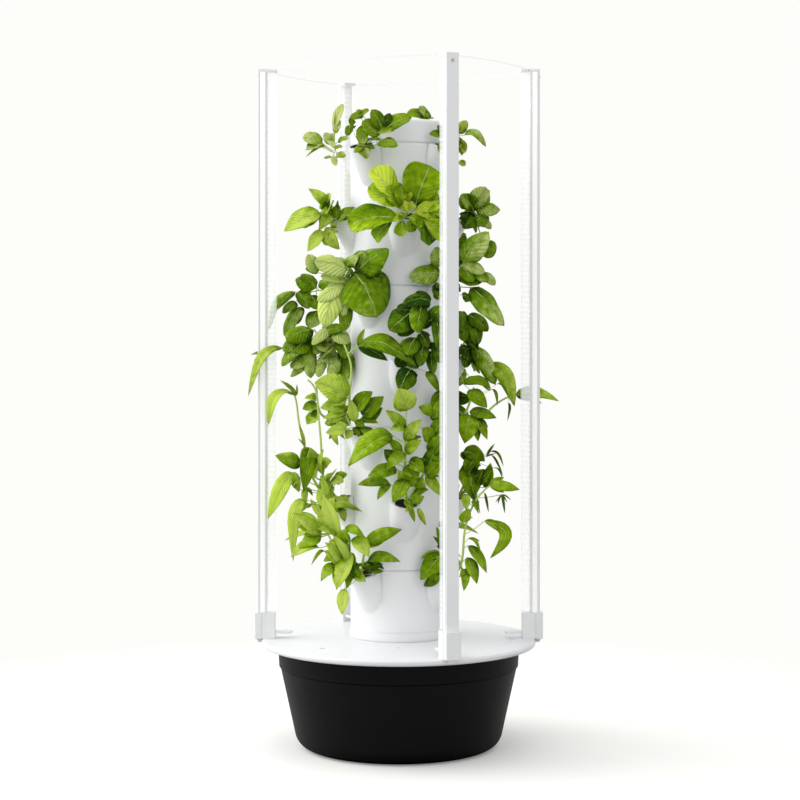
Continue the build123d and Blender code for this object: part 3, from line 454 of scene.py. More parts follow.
# Row 6: lettuce in front, a young pepper on the left, basil on the right
sprig(
    6, 0, "lettuce",
    stem=[(0, 18, 11)],
    leaves=[
        (14, 42, 11, 104, 46, 4),
        (-20, 36, -80, 102, 60, 8),
        (22, 28, 53, 112, 80, 3),
        (19, 15, 77, 35, 58, 4),
        (-18, -8, -131, -20, 56, 3),
        (-32, -13, -71, -53, 38, 3),
        (19, 4, 80, 1, 44, 5),
        (22, -2, 63, -58, 64, 2),
        (-5, 15, -39, 65, 42, 3),
        (-3, 18, -13, 67, 36, 4),
        (-8, -13, -18, -46, 25, 4),
        (5, -13, 11, -38, 22, 3),
        (2, 8, 4, 32, 18, 7),
        (0, 9, -12, 21, 14, 6),
        (-22, 24, -86, 62, 44, 7),
        (6, -4, 40, -22, 26, 4),
        (-4, -6, -34, -8, 22, 5),
        (40, -10, 86, -52, 36, 4),
        (5, 9, 19, 25, 14, 6),
    ],
)
sprig(
    6, 3, "pepper",
    stem=[(-10, 6, 11), (-24, 10, 25)],
    leaves=[
        (-24, 28, -71, 69, 26, 7),
        (-40, 8, -127, -30, 46, 6, 0.12),
        (-8, 25, -47, -29, 28, 8),
        (-3, 0, -7, 33, 22, 4),
        (-3, -7, 21, -2, 18, 4),
        (-34, -31, -73, -76, 30, 7),
        (-34, -29, 2, -73, 28, 7),
        (-24, 21, -21, 35, 14, 7),
        (-3, 25, -2, 43, 6, 5),
        (2, -4, 36, 26, 20, 5),
        (-17, -14, -5, -22, 14, 4),
    ],
)
sprig(
    6, 1, "basil",
    stem=[(15, 6, 16), (33, 8, 23)],
    leaves=[
        (40, 10, 8, 5, 32, 1),
        (40, 0, 10, -21, 28, 1),
        (43, 5, 62, -19, 18, 4),
        (40, 21, 64, 75, 45, 5),
        (40, 26, 98, 20, 36, 5),
        (36, 24, 73, 68, 24, 7),
        (30, 30, 6, 56, 34, 5),
        (34, 14, 12, -16, 40, 2),
        (40, 4, 66, -14, 28, 3),
        (46, 10, 76, -24, 26, 5),
        (36, 25, 6, 48, 34, 5),
    ],
)

# Row 5: basil with broad leaves
sprig(
    5, 1, "basil",
    stem=[(18, 16, 30), (34, 20, 54)],
    leaves=[
        (34, 34, 79, 13, 36, 2),
        (38, 58, 95, 128, 55, 4),
        (79, 75, 109, 105, 34, 5),
        (34, 54, 85, 34, 30, 6),
        (77, 38, 109, 7, 23, 6),
        (54, 3, 130, -85, 54, 4, 0.08),
        (34, -15, 54, -27, 22, 3),
        (-15, 34, -85, 24, 44, 4),
        (-12, 50, -26, 94, 36, 4),
        (-19, 11, -29, -13, 17, 1),
        (34, 50, 60, 14, 34, 2),
        (70, 40, 92, 14, 26, 3),
        (-17, -25, -28, -5, 19, 2),
    ],
)
sprig(
    5, 0, "basil",
    stem=[(-16, 24, 21), (-24, 36, 33)],
    leaves=[
        (-97, 35, -120, 76, 31, 7),
        (-32, 19, -91, 27, 26, 9),
        (-43, 7, -99, -28, 38, 9),
        (-41, 13, -81, -89, 52, 10, 0.12),
        (-37, -24, -43, -70, 22, 7),
        (-30, 42, -104, 60, 50, 8),
        (-32, 48, -5, 72, 28, 6),
        (-10, 35, 64, 88, 66, 3),
        (-18, 35, 36, -66, 110, 3, 0.12),
        (-30, -40, -36, -96, 28, 3),
        (-22, 31, -22, 45, 14, 4),
    ],
)
sprig(
    5, 3, "basil",
    stem=[(-48, -2, 6), (-99, 6, -5)],
    leaves=[
        (-86, 8, -122, 36, 30, 3),
        (-78, 21, -48, 6, 26, 5),
        (-86, 4, -135, 23, 42, 3),
        (-135, -5, -198, -97, 25, 6, 0.3),
        (-130, -5, -102, -45, 30, 3),
        (-99, -13, -82, -47, 26, 2),
        (-135, -28, -164, -56, 25, 4),
        (-120, -41, -160, -110, 36, 5),
        (-84, -49, -105, -89, 34, 5),
    ],
)

# Row 4: dark basil, with long leaves of pepper shoots at both sides
sprig(
    4, 3, "basil",
    stem=[(-29, 10, 23), (-49, 16, 52), (-58, 18, 69)],
    leaves=[
        (-53, 52, -49, 11, 38, 4),
        (-66, 48, -107, 15, 40, 3),
        (-95, 44, -128, 19, 30, 4),
        (-58, 67, -121, 44, 46, 3),
        (-91, 36, -130, -16, 34, 4),
        (-53, 11, -111, -20, 38, 5),
        (-66, 27, -64, -43, 30, 5),
        (12, 23, 2, -44, 50, 4),
        (0, 11, -51, -10, 30, 9),
        (-6, 25, -51, 27, 26, 10),
        (-37, -6, -47, -41, 22, 7),
        (-37, 61, 17, 73, 24, 3),
        (4, 56, 14, 2, 34, 4),
        (8, 12, 10, -50, 40, 4),
        (-4, 4, -22, -44, 28, 6),
        (-70, -8, -110, -40, 20, 5),
        (-16, 69, -61, 33, 29, 7),
        (-16, 67, 25, 37, 33, 7),
    ],
)
sprig(
    4, 3, "pepper",
    stem=[(-20, -10, 20), (-66, -14, 16), (-132, -20, 25)],
    leaves=[(-132, 25, -212, -87, 23, 6, 0.4)],
)
sprig(
    4, 0, "basil",
    stem=[(19, 34, 45), (48, 44, 98), (52, 46, 118)],
    leaves=[
        (31, 61, 48, 29, 22, 1),
        (60, 114, 76, 86, 22, 2),
        (-1, 45, 31, 9, 30, 2),
        (68, 45, 78, -7, 24, 1),
        (54, 130, -8, 126, 30, 0, 0.2),
        (56, 90, 78, 120, 24, 2),
        (64, 98, 73, 22, 26, 1),
        (17, 78, -19, 57, 30, 1),
        (13, 110, -38, 67, 56, 1),
        (36, 126, 24, 62, 40, 2),
        (42, 45, 31, -13, 28, 2),
        (23, 51, 1, 11, 40, 2),
        (56, 21, 60, -31, 22, 1),
        (44, -25, 72, -68, 18, 3, 0.3),
        (11, -19, -15, -68, 46, 1),
        (4, 16, -22, -14, 32, 1),
        (10, 14, 24, -18, 30, 1),
    ],
)
sprig(
    4, 1, "basil",
    stem=[(21, 6, 44), (29, 8, 98)],
    leaves=[
        (10, 111, 10, 61, 24, 3),
        (19, 94, 15, 40, 34, 1),
        (31, 90, 44, 31, 30, 2),
        (23, 102, 70, 64, 32, 2),
        (21, 31, 15, -20, 28, 2),
        (38, 31, 87, -60, 38, 5, 0.12),
        (-38, 94, -47, 19, 26, 2),
        (29, -44, 76, -74, 20, 4, 0.25),
        (13, -56, 46, -56, 18, 4, 0.3),
    ],
)
sprig(
    4, 1, "pepper",
    stem=[(20, 4, -6), (46, 8, -10), (71, 8, -15)],
    leaves=[(71, -15, 132, -111, 36, 5, 0.28)],
)

# Row 3: peppers with tall stems
sprig(
    3, 0, "pepper",
    stem=[(-16, 28, 28), (-28, 40, 72), (-22, 46, 117), (-20, 50, 158), (-37, 52, 198)],
    leaves=[
        (-65, -5, -51, -31, 12, 7),
        (-32, 9, -79, -1, 24, 8),
        (-35, 44, -85, 32, 20, 8),
        (-37, 40, -65, 22, 14, 9),
        (-32, 56, -91, 56, 34, 8),
        (-31, 78, -104, 113, 62, 6),
        (-16, 24, -24, 76, 22, 9),
        (-12, 48, 27, 93, 34, 3),
        (16, 30, 49, 56, 26, 4),
        (4, 36, 52, 82, 36, 3),
        (-12, 24, 10, 13, 16, 3),
        (0, 28, 39, 22, 18, 3),
        (-10, 10, 16, -12, 22, 4),
        (0, 6, 30, -4, 18, 3),
        (-20, 6, -34, -14, 18, 6),
        (-16, 11, -1, -7, 14, 3),
        (-4, 194, 10, 235, 12, 5),
        (-6, 198, 124, 150, 54, 2, 0.22),
    ],
)
sprig(
    3, 3, "pepper",
    stem=[(-56, -10, 18), (-82, -6, 31), (-86, -4, 99), (-107, -4, 111)],
    leaves=[(-82, 65, -114, 67, 28, 5), (-82, 48, -119, 42, 30, 5), (-82, 29, -109, 6, 40, 5)],
)
sprig(
    3, 1, "pepper",
    stem=[(30, 10, 10), (58, 12, 75), (62, 12, 100)],
    leaves=[
        (38, 108, 100, 99, 18, 3, 0.25),
        (50, 94, 92, 54, 32, 3),
        (103, 96, 115, 59, 7, 2, 0.3),
        (115, 108, 140, 80, 6, 2, 0.3),
        (52, 45, 113, 31, 25, 2),
        (54, 37, 40, -26, 44, 3),
        (70, 30, 92, -18, 22, 3),
        (-8, 90, -36, 40, 30, 2),
        (-6, 60, -30, 14, 26, 2),
        (62, 22, 71, -22, 20, 3),
    ],
)
sprig(
    3, 1, "pepper",
    stem=[(30, 0, 4), (75, -60, 12), (115, -110, 59), (149, -130, 73)],
    leaves=[(166, 79, 267, 63, 28, 5, 0.2), (148, 59, 146, 16, 6, 3, 0.4)],
)

# Row 2: peppers, the tallest on the left
sprig(
    2, 0, "pepper",
    stem=[(-3, 34, 54), (-3, 42, 118), (-3, 46, 163), (-1, 48, 207)],
    leaves=[
        (11, 82, 44, 106, 26, 2),
        (-25, 98, -50, 127, 26, 2),
        (-17, 106, -40, 150, 25, 5),
        (1, 213, -18, 264, 48, 6),
        (-1, 90, 27, 62, 34, 5),
        (3, 42, 12, 87, 34, 5),
        (-1, 54, -18, 80, 26, 5),
        (21, 54, 44, 42, 24, 5),
        (-21, 82, -86, 68, 34, 5),
        (-35, 46, -109, 48, 26, 5),
        (-30, 158, -129, 91, 48, 3, 0.15),
        (11, 15, 50, 36, 28, 5),
        (7, 1, 19, -37, 11, 5),
        (27, -5, 44, -44, 12, 5),
        (-4, 120, -44, 84, 30, 4),
        (-2, 60, -30, 10, 34, 4),
        (6, 100, 40, 76, 28, 3),
        (0, 12, 14, -14, 18, 5),
        (15, 5, 40, 21, 18, 5),
        (-4, 168, -46, 216, 24, 4),
        (0, 144, 34, 196, 26, 5),
        (0, 118, 34, 150, 24, 4),
        (-4, 176, -36, 172, 22, 5),
    ],
)
sprig(
    2, 0, "pepper",
    stem=[(12, 30, 30), (44, 36, 74), (62, 38, 150), (66, 38, 214)],
    leaves=[
        (46, 82, 74, 136, 34, 2),
        (62, 145, 35, 174, 32, 4),
        (44, 66, 80, 106, 34, 4),
        (64, 190, 80, 240, 26, 3),
        (62, 160, 82, 196, 26, 3),
        (54, 112, 80, 160, 30, 3),
        (44, 66, 78, 22, 22, 4),
        (62, 206, 27, 222, 24, 4),
        (64, 208, 84, 226, 24, 4),
    ],
)
sprig(
    2, 3, "pepper",
    stem=[(-24, 4, -10), (-37, 8, 27), (-43, 12, 143), (-49, 14, 201), (-53, 14, 264)],
    leaves=[
        (-58, 52, -49, 94, 24, 10),
        (-24, -14, -49, 27, 30, 10),
        (-38, 81, -17, 90, 24, 8),
        (-8, 38, 19, 60, 30, 5),
        (-33, 27, -4, 75, 7, 10),
        (-33, 19, -6, 46, 13, 10),
        (-29, 7, -10, 32, 17, 10),
        (-24, 2, -4, 11, 13, 10),
        (-107, 29, -90, 47, 12, 6),
        (-68, -10, -83, -24, 17, 6),
        (-78, 27, -76, -12, 15, 6),
        (-49, -68, -104, -26, 34, 8),
        (-56, 77, -66, 123, 28, 4),
        (-89, 81, -146, 105, 33, 4),
        (-68, 121, -80, 22, 33, 2),
        (-111, 63, -162, -40, 32, 9, 0.15),
        (-78, 0, -104, -137, 28, 7, 0.4),
        (-20, 44, 12, 44, 26, 7),
        (4, -18, 14, -48, 16, 6),
        (-8, 6, 14, -8, 16, 9),
        (2, 10, 22, -8, 18, 7),
        (-40, 60, -34, 120, 14, 10),
        (-30, 0, -40, 60, 16, 10),
        (-14, -2, -4, -28, 16, 8),
        (-20, -20, 54, -23, 15, 5, 0.35),
    ],
)
sprig(
    2, 3, "pepper",
    stem=[(-53, 4, 11), (-80, 4, 117), (-95, 2, 177), (-100, 0, 235), (-108, 0, 248)],
    leaves=[(-112, 249, -164, 172, 26, 8, 0.35), (-99, 241, -137, 276, 9, 6), (-80, 121, -93, 175, 8, 7)],
)
sprig(
    2, 1, "pepper",
    stem=[(10, 6, 20), (30, 8, 60), (55, 8, 100)],
    leaves=[
        (13, 109, 63, 87, 37, 2),
        (21, 75, 33, 1, 50, 2),
        (63, 25, 76, 84, 23, 3),
        (67, 96, 86, 129, 6, 2),
        (77, 109, 106, 75, 6, 2, 0.3),
        (79, 100, 106, 50, 5, 2, 0.3),
        (83, 71, 104, 38, 4, 2, 0.3),
        (102, 8, 109, -34, 6, 2),
        (20, 60, 54, 110, 34, 2),
        (10, 50, 40, 80, 30, 2),
        (30, 30, 60, 70, 28, 2),
        (44, 30, 80, 70, 26, 2),
        (63, 13, 71, -31, 6, 2),
    ],
)

# Row 1, in the base: narrow-leaved herbs and small peppers
sprig(
    1, 0, "herb",
    stem=[(-10, 24, 29), (-38, 34, 66), (-71, 34, 123), (-83, 34, 184)],
    leaves=[
        (-79, 110, -95, 159, 20, 7),
        (-67, 143, -58, 184, 18, 8),
        (-50, 92, -84, 186, 32, 8),
        (-91, 94, -152, 148, 24, 5),
        (-89, 97, -142, 117, 26, 6),
        (-89, 90, -136, 69, 30, 4),
        (-94, 66, -156, 49, 28, 5, 0.25),
        (-42, 25, -83, 62, 26, 8),
        (-50, 29, -71, 86, 28, 8),
        (-38, 41, -50, 86, 24, 7),
        (-34, 74, -32, 112, 32, 4),
        (-59, 23, -89, -6, 22, 5, 0.25),
        (-22, 54, -54, -24, 34, 7),
        (-58, 9, -52, -26, 14, 7),
        (-24, 13, -32, -26, 16, 4),
        (-36, -26, -42, -84, 26, 7),
        (-83, 58, -110, 32, 8, 4, 0.3),
        (-38, 98, 10, 93, 20, 4, 0.3),
        (-16, 90, 19, 51, 32, 5),
        (-14, 29, -1, 0, 15, 2),
        (-20, 17, -5, 1, 16, 2),
        (-12, 6, 12, -8, 20, 6),
        (-34, 24, -80, 82, 26, 8),
        (-30, 30, -62, 100, 18, 8),
        (-10, 19, 9, 29, 12, 4),
    ],
)
sprig(
    1, 0, "pepper",
    stem=[(4, 22, 30), (9, 32, 68)],
    leaves=[
        (11, 71, 93, 107, 30, 4),
        (15, 34, 89, 33, 26, 4, 0.25),
        (27, 8, 51, 9, 10, 5),
        (10, 14, 44, 12, 14, 5),
        (4, 20, 50, 26, 18, 4),
        (11, 13, 13, 28, 14, 2),
    ],
)
sprig(
    1, 1, "pepper",
    stem=[(0, 14, 20), (-8, 22, 45), (-12, 22, 110)],
    leaves=[
        (-15, 0, -52, -28, 20, 2),
        (-11, 14, -37, -16, 24, 2),
        (-12, 45, -60, -11, 42, 3),
        (-11, 55, -19, 92, 12, 2),
        (-14, 60, -24, 110, 16, 2),
        (-13, 108, -17, 122, 12, 2),
    ],
)
sprig(
    1, 1, "herb",
    stem=[(20, 2, -6), (38, 4, 27), (40, 6, 108), (71, 4, 180), (99, 2, 200)],
    leaves=[
        (87, 120, 98, 36, 26, 3, 0.1, -0.45),
        (49, 64, 91, 3, 24, 3),
        (47, 37, 69, -22, 26, 3),
        (49, 79, 78, 46, 9, 4, 0.3),
        (40, 10, 38, -35, 18, 3),
        (38, 116, 51, 151, 24, 4),
        (57, 165, 73, 137, 8, 3, 0.3),
        (38, 180, 44, 147, 18, 4),
        (99, 200, 166, 193, 22, 4),
    ],
)
sprig(
    1, 3, "herb",
    stem=[(-20, 0, 30), (-60, 4, 60), (-70, 4, 110)],
    leaves=[(-66, 80, -161, 57, 18, 8), (-70, 110, -100, 156, 16, 8)],
)

# What the photo can't show: the far ports, one sprig each, and small sprigs that face outwards
# at the sides, so that no side of the column is bare.
FAR_SPRIGS = {
    "seedling": (
        [(0, 10, 12), (0, 14, 30)],
        [
            (4, 24, 34, 70, 26, 5),
            (-4, 22, -36, 62, 24, 4),
            (6, 18, 50, 14, 24, 5),
            (-6, 16, -48, 8, 22, 4),
            (0, 26, 4, 40, 22, 6),
            (-2, 28, -10, 84, 22, 5),
        ],
    ),
    "lettuce": (
        [(0, 10, 8), (0, 16, 22)],
        [
            (6, 14, 52, 98, 70, 6),
            (-6, 14, -58, 92, 62, 5),
            (10, 8, 84, 4, 62, 5),
            (-10, 8, -86, 0, 58, 4),
            (0, 18, 6, 104, 50, 5),
            (6, 4, 40, -40, 44, 4),
            (-6, 4, -36, -44, 44, 4),
            (2, 18, 10, 52, 30, 6),
            (-2, 18, -16, 46, 28, 6),
        ],
    ),
    "basil": (
        [(0, 16, 30), (2, 30, 70), (0, 40, 100)],
        [
            (6, 100, 44, 140, 44, 5),
            (-6, 100, -46, 136, 42, 4),
            (8, 70, 70, 76, 44, 4),
            (-8, 70, -70, 70, 42, 3),
            (8, 40, 40, 0, 40, 3),
            (-8, 40, -42, -4, 40, 3),
            (2, 92, 4, 56, 40, 5),
            (2, 104, 10, 150, 26, 6),
            (8, 50, 62, 26, 38, 4),
            (-8, 50, -64, 20, 38, 4),
        ],
    ),
    "herb": (
        [(0, 16, 30), (2, 30, 80), (0, 40, 130)],
        [
            (4, 124, 56, 150, 16, 6),
            (-4, 124, -52, 140, 16, 6),
            (6, 84, 86, 76, 15, 5),
            (-6, 84, -88, 70, 15, 5),
            (6, 40, 60, -20, 14, 5),
            (-6, 40, -54, -30, 14, 4),
            (2, 130, 20, 190, 14, 7),
            (-2, 130, -24, 184, 14, 6),
            (4, 100, 70, 110, 14, 6),
            (-4, 100, -66, 106, 14, 5),
            (0, 70, 10, 20, 14, 5),
        ],
    ),
}
FAR_KINDS = {1: "herb", 2: "herb", 3: "basil", 4: "basil", 5: "basil", 6: "lettuce", 7: "seedling"}
for row, kind in FAR_KINDS.items():
    sprig(row, 2, kind, *FAR_SPRIGS[kind], to_front=False)
SIDE_KINDS = {1: "herb", 2: "pepper", 3: "pepper", 4: "basil", 5: "basil", 6: "pepper"}
SIDE_SPRIG = (
    [(0, 14, 10), (0, 24, 30)],
    [
        (6, 30, 44, 50, 40, 5),
        (-6, 30, -46, 46, 38, 5),
        (8, 20, 64, 10, 38, 5),
        (-8, 20, -62, 4, 36, 4),
        (4, 14, 30, -30, 32, 4),
        (-4, 14, -34, -34, 32, 5),
        (0, 30, 4, 56, 32, 6),
        (2, 24, 6, -10, 30, 5),
    ],
)
for row, kind in SIDE_KINDS.items():
    for port in (3,) if row % 2 else (1, 3):
        sprig(row, port, kind, *SIDE_SPRIG, to_front=False)


VIEWER = Vector((0, -1, 0))
UP = Vector((0, 0, 1))
ARCH_UPWARD = 0.35
WAVE = 6.28
RIPPLES = 3
RIPPLE = 0.06
RIB_STOPS = (0, 0.12, 0.35, 0.62, 0.85)


def leaf_blade(bm, tone_layer, kind, tone, base, tip, width, arch, sway, facing, rng):
    """One leaf as a bent and shaped grid. Returns points along its midrib for the rib."""
    run = tip - base
    length = run.length
    lift = facing - run * (facing.dot(run) / run.dot(run))
    lift = (lift.normalized() + ARCH_UPWARD * UP).normalized()
    sideways = run.cross(lift).normalized()
    bend = lift * arch + sideways * (sway + rng.uniform(-0.05, 0.05))

    def midrib(s):
        return base + run * s + bend * (length * math.sin(math.pi * s**0.85))

    widest = kind.opens / (kind.opens + kind.closes)
    twist = rng.uniform(-0.5, 0.5)
    lean = rng.uniform(-0.1, 0.1)
    phase = rng.uniform(0, WAVE)
    waves = rng.uniform(1.6, 2.6)
    blush = rng.uniform(-0.25, 0.45)
    flank = rng.uniform(-0.22, 0.22)
    long, broad = kind.grid
    made = bmesh.ops.create_grid(bm, x_segments=long, y_segments=broad, size=1, calc_uvs=True)
    for vert in made["verts"]:
        u = min(1.0, max(0.0, (vert.co.x + 1) / 2))
        v = vert.co.y
        ahead = (midrib(min(1, u + 0.02)) - midrib(max(0, u - 0.02))).normalized()
        across = ahead.cross(facing).normalized()
        across = Matrix.Rotation(twist * (u - 0.3), 3, ahead) @ across
        up = across.cross(ahead)
        full = (u / widest) ** kind.opens * ((1 - u) / (1 - widest)) ** kind.closes
        half = width / 2 * full * (1 + lean * v)
        rise = kind.fold * abs(v) + kind.cup * v * v
        rise += kind.wave * abs(v) ** 3 * math.sin(WAVE * waves * u + phase + (1.7 if v > 0 else 0))
        rise += RIPPLE * (1 - abs(v)) * math.sin(WAVE * RIPPLES * u - 4 * abs(v))
        vert.co = midrib(u) + across * (v * half) + up * (rise * half)
        vert[tone_layer] = tone + blush * (u - 0.5) + flank * v
    bmesh.ops.remove_doubles(bm, verts=made["verts"], dist=0.15 * MM)
    return [midrib(s) for s in RIB_STOPS]


def add_rod(curve, points, radii):
    """One tapered rod on a smooth curve through a few points."""
    spline = curve.splines.new("NURBS")
    spline.points.add(len(points) - 1)
    for point, spot, radius in zip(spline.points, points, radii):
        point.co = (*spot, 1)
        point.radius = radius
    spline.order_u = 3
    spline.use_endpoint_u = True


STEM_STEPS = 8
STALK_RISE = 0.7


def nearest(line, right, up):
    """The point of a stem, as (right, near, up), from which a stalk rises to a leaf's foot."""
    best = None
    for a, b in zip(line, line[1:]):
        for step in range(STEM_STEPS + 1):
            spot = a.lerp(b, step / STEM_STEPS)
            gap = math.hypot(spot.x - right, spot.z - up + STALK_RISE * abs(spot.x - right))
            if best is None or gap < best[0]:
                best = (gap, spot)
    return best[1]


# A pocket's mouth as a box in millimetres, from its middle
POCKET_REACH = 48
POCKET_HALF = 50
POCKET_TOP = 10


def in_front(right, near, up):
    """How near a spot lies: what hangs down over a pocket hangs in front of it."""
    return max(near, POCKET_REACH) if up < POCKET_TOP and abs(right) < POCKET_HALF else near


def with_more(leaves, share, rng):
    """A sprig's leaves after a share of small ones behind them, which fill its middle."""
    small = []
    for _ in range(round(share * len(leaves))):
        right, up, tip_right, tip_up, width, tone, *_ = rng.choice(leaves)
        turn = rng.uniform(-0.9, 0.9)
        size = rng.uniform(0.4, 0.65)
        run_right = (tip_right - right) * size
        run_up = (tip_up - up) * size
        new_right = right + run_right * math.cos(turn) - run_up * math.sin(turn)
        new_up = up + run_right * math.sin(turn) + run_up * math.cos(turn)
        slim = width * rng.uniform(0.45, 0.7)
        small.append((right, up, new_right, new_up, slim, tone + rng.uniform(-2, 2)))
    return small + leaves


# The leaves of a sprig lie one before another, each a step nearer than the last. They look partly
# to the viewer, partly up and partly outwards, and reach forward at their tips.
SEED = 40
STEM_FOOT = Vector((0, 2, -3))
STEM_TAPER = 0.45
FOOT_STEP = 0.5
TIP_STEP = 0.6
TIP_FORWARD = 0.12
LOOK_TO_VIEWER = 0.75
LOOK_UP = 0.5
LOOK_OUT = 0.2
LOOK_SPREAD = 0.28
USUAL_ARCH = 0.1
USUAL_SWAY = 0.0
WIDEN = 1.14 * MM
TONE_STEP = 0.14
DARKEST = -0.06
TONE_SPREAD = 0.1
RIB_LEAST = 0.5
RIB_MOST = 1.5
STALK_SAG = 0.08
LEAF_THICK = 0.5 * MM
for row in ROWS:
    rng = random.Random(SEED + row)
    meshes = {}
    stems = bpy.data.curves.new(f"stems_row_{row}", "CURVE")
    stems.dimensions = "3D"
    stems.bevel_depth = 1.0 * MM
    stems.bevel_resolution = 1
    stems.resolution_u = 4
    stems.use_fill_caps = True
    for port, kind_name, stem, leaves, to_front in SPRIGS[row]:
        kind = KINDS[kind_name]
        centre = mouth(row, port).translation
        turn = Matrix.Rotation(math.radians(port_angle(row, port)), 3, "Z")
        outward = turn @ VIEWER
        view = VIEWER if to_front else outward
        spread = Matrix.Identity(3) if to_front else turn

        def spot(right, near, up):
            return centre + spread @ Vector((right, -near, up)) * MM

        if kind_name not in meshes:
            meshes[kind_name] = bmesh.new()
            meshes[kind_name].loops.layers.uv.new("UVMap")
            meshes[kind_name].verts.layers.float.new("tone")
        bm = meshes[kind_name]
        layer = bm.verts.layers.float["tone"]
        line = [STEM_FOOT] + [Vector(p) for p in stem]
        radii = [kind.stem * (1 - STEM_TAPER * k / (len(line) - 1)) for k in range(len(line))]
        add_rod(stems, [spot(*p) for p in line], radii)
        for place, leaf in enumerate(with_more(leaves, kind.more, rng)):
            right, up, tip_right, tip_up, width, tone, *bends = leaf
            start = nearest(line, right, up)
            near = start.y + FOOT_STEP * place
            reach = math.hypot(tip_right - right, tip_up - up)
            base = spot(right, in_front(right, near, up), up)
            tip_near = near + TIP_FORWARD * reach + TIP_STEP * place
            tip = spot(tip_right, in_front(tip_right, tip_near, tip_up), tip_up)
            arch = bends[0] if bends else USUAL_ARCH
            sway = bends[1] if len(bends) > 1 else USUAL_SWAY
            facing = view * LOOK_TO_VIEWER + UP * LOOK_UP + outward * LOOK_OUT
            facing += Vector([rng.uniform(-LOOK_SPREAD, LOOK_SPREAD) for _ in range(3)])
            facing.normalize()
            own = TONE_STEP * tone + DARKEST + rng.uniform(-TONE_SPREAD, TONE_SPREAD)
            rib = leaf_blade(bm, layer, kind, own, base, tip, WIDEN * width, arch, sway, facing, rng)
            rib_r = min(RIB_MOST, RIB_LEAST + width / 60)
            add_rod(stems, rib, [rib_r, rib_r, rib_r * 0.7, rib_r * 0.45, 0.2])
            gap = math.hypot(start.x - right, start.z - up)
            if gap > 1:
                middle = start.lerp(Vector((right, near, up)), 0.5) + Vector((0, 0, -STALK_SAG * gap))
                add_rod(stems, [spot(*start), spot(*middle), base], [rib_r * 1.1, rib_r, rib_r])
    for kind_name, bm in meshes.items():
        green = LEAF_GREENS[kind_name]
        piece = finish_piece(f"{kind_name}_leaves_row_{row}", bm, green, "root")
        skin = piece.modifiers.new("leaf thickness", "SOLIDIFY")
        skin.thickness = LEAF_THICK
        skin.offset = 0
        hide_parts(f"plants_row_{row}")
    stems.materials.append(stalk)
    rods = bpy.data.objects.new(f"stems_row_{row}", stems)
    bpy.context.scene.collection.objects.link(rods)
    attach(rods, "root")


# Light posts: powder coated aluminium channels with opal inserts and thin grey metal edges on
# their flanks, which also paint part of the shade at the posts' corners, and rows of lamps behind
# milky covers on the side of the plants. Screwed caps close their tops, clear bowed rods tie them
# together, and moulded sockets hook their feet on the lid's rim.
SIDES = ("left", "front", "right", "back")
POST_ANGLES = (-90, 21, 90, 205)
POST_LOW = 311 * MM
POST_HIGH = 1566 * MM
FLANK_NEAR = 14.8 * MM
FLANK_FAR = 15.3 * MM
INSERT = (310.5 * MM, 322 * MM)
EDGE_LINE_REACH = ((307 * MM, 310 * MM), (322.4 * MM, 325.4 * MM))
LAMP = (302.9 * MM, 305 * MM)
LAMP_HALF = 2.5 * MM
LAMP_HEIGHT = 3.5 * MM
LAMP_PITCH = 12 * MM
LAMP_MARGIN = 20 * MM


def upright(bm, angle, inner, outer, left, right, low, high):
    """A square bar at a post, by its reach from the axis, its place across the post and its ends."""
    middle = Matrix.Translation(((left + right) / 2, -(inner + outer) / 2, (low + high) / 2))
    size = Matrix.Diagonal((right - left, outer - inner, high - low, 1))
    bmesh.ops.create_cube(bm, size=1, matrix=Matrix.Rotation(math.radians(angle), 4, "Z") @ middle @ size)


# White powder coat: an even, faintly pebbled satin white.
post_white = moulded(
    "white_powder_coat",
    "#e6e7e8",
    "#ecedee",
    cloud=60 * MM,
    grain=2 * MM,
    depth=0.08 * MM,
    sockets={"Roughness": 0.45, "IOR": 1.5, "Specular IOR Level": 0.35},
)
dress(post_white, *[f"light_channel_{side}" for side in SIDES])

# Opal acrylic with a painted glow that makes it whiter than the coat beside it.
opal = moulded(
    "opal_acrylic_insert",
    "#f1f2f2",
    "#f6f7f7",
    cloud=50 * MM,
    grain=2 * MM,
    depth=0.03 * MM,
    sockets={
        "Roughness": 0.35,
        "IOR": 1.49,
        "Specular IOR Level": 0.3,
        "Emission Color": linear("#ffffff"),
        "Emission Strength": 0.2,
    },
)

# Satin anodised aluminium in thin strips at the edges of each flank: grey lines that take the tone of what
# they face, and paint part of the shade at the posts' corners.
edge_line_metal = moulded(
    "satin_anodised_aluminium",
    "#d2d5d7",
    "#dcdee0",
    cloud=40 * MM,
    grain=1.5 * MM,
    depth=0.03 * MM,
    sockets={"Roughness": 0.4, "Metallic": 1.0},
)

# Cast silicone over each lamp: warm white dots with a low glow.
lamp_cover = moulded(
    "pale_silicone_lamp_cover",
    "#efeee4",
    "#f6f5ee",
    cloud=6 * MM,
    grain=2 * MM,
    depth=0.03 * MM,
    sockets={
        "Roughness": 0.4,
        "IOR": 1.41,
        "Specular IOR Level": 0.3,
        "Emission Color": linear("#ffffff"),
        "Emission Strength": 0.1,
    },
)
inserts, edges, lamps = bmesh.new(), bmesh.new(), bmesh.new()
for angle in POST_ANGLES:
    for left, right in ((-FLANK_FAR, -FLANK_NEAR), (FLANK_NEAR, FLANK_FAR)):
        upright(inserts, angle, *INSERT, left, right, POST_LOW, POST_HIGH)
        for reach in EDGE_LINE_REACH:
            upright(edges, angle, *reach, left, right, POST_LOW, POST_HIGH)
    height = POST_LOW + LAMP_MARGIN
    while height < POST_HIGH - LAMP_MARGIN:
        upright(lamps, angle, *LAMP, -LAMP_HALF, LAMP_HALF, height, height + LAMP_HEIGHT)
        height += LAMP_PITCH
finish_piece("opal_inserts", inserts, opal, "light_frame", smooth=False)
finish_piece("post_edge_lines", edges, edge_line_metal, "light_frame", smooth=False)
finish_piece("strip_lamps", lamps, lamp_cover, "light_frame", smooth=False)
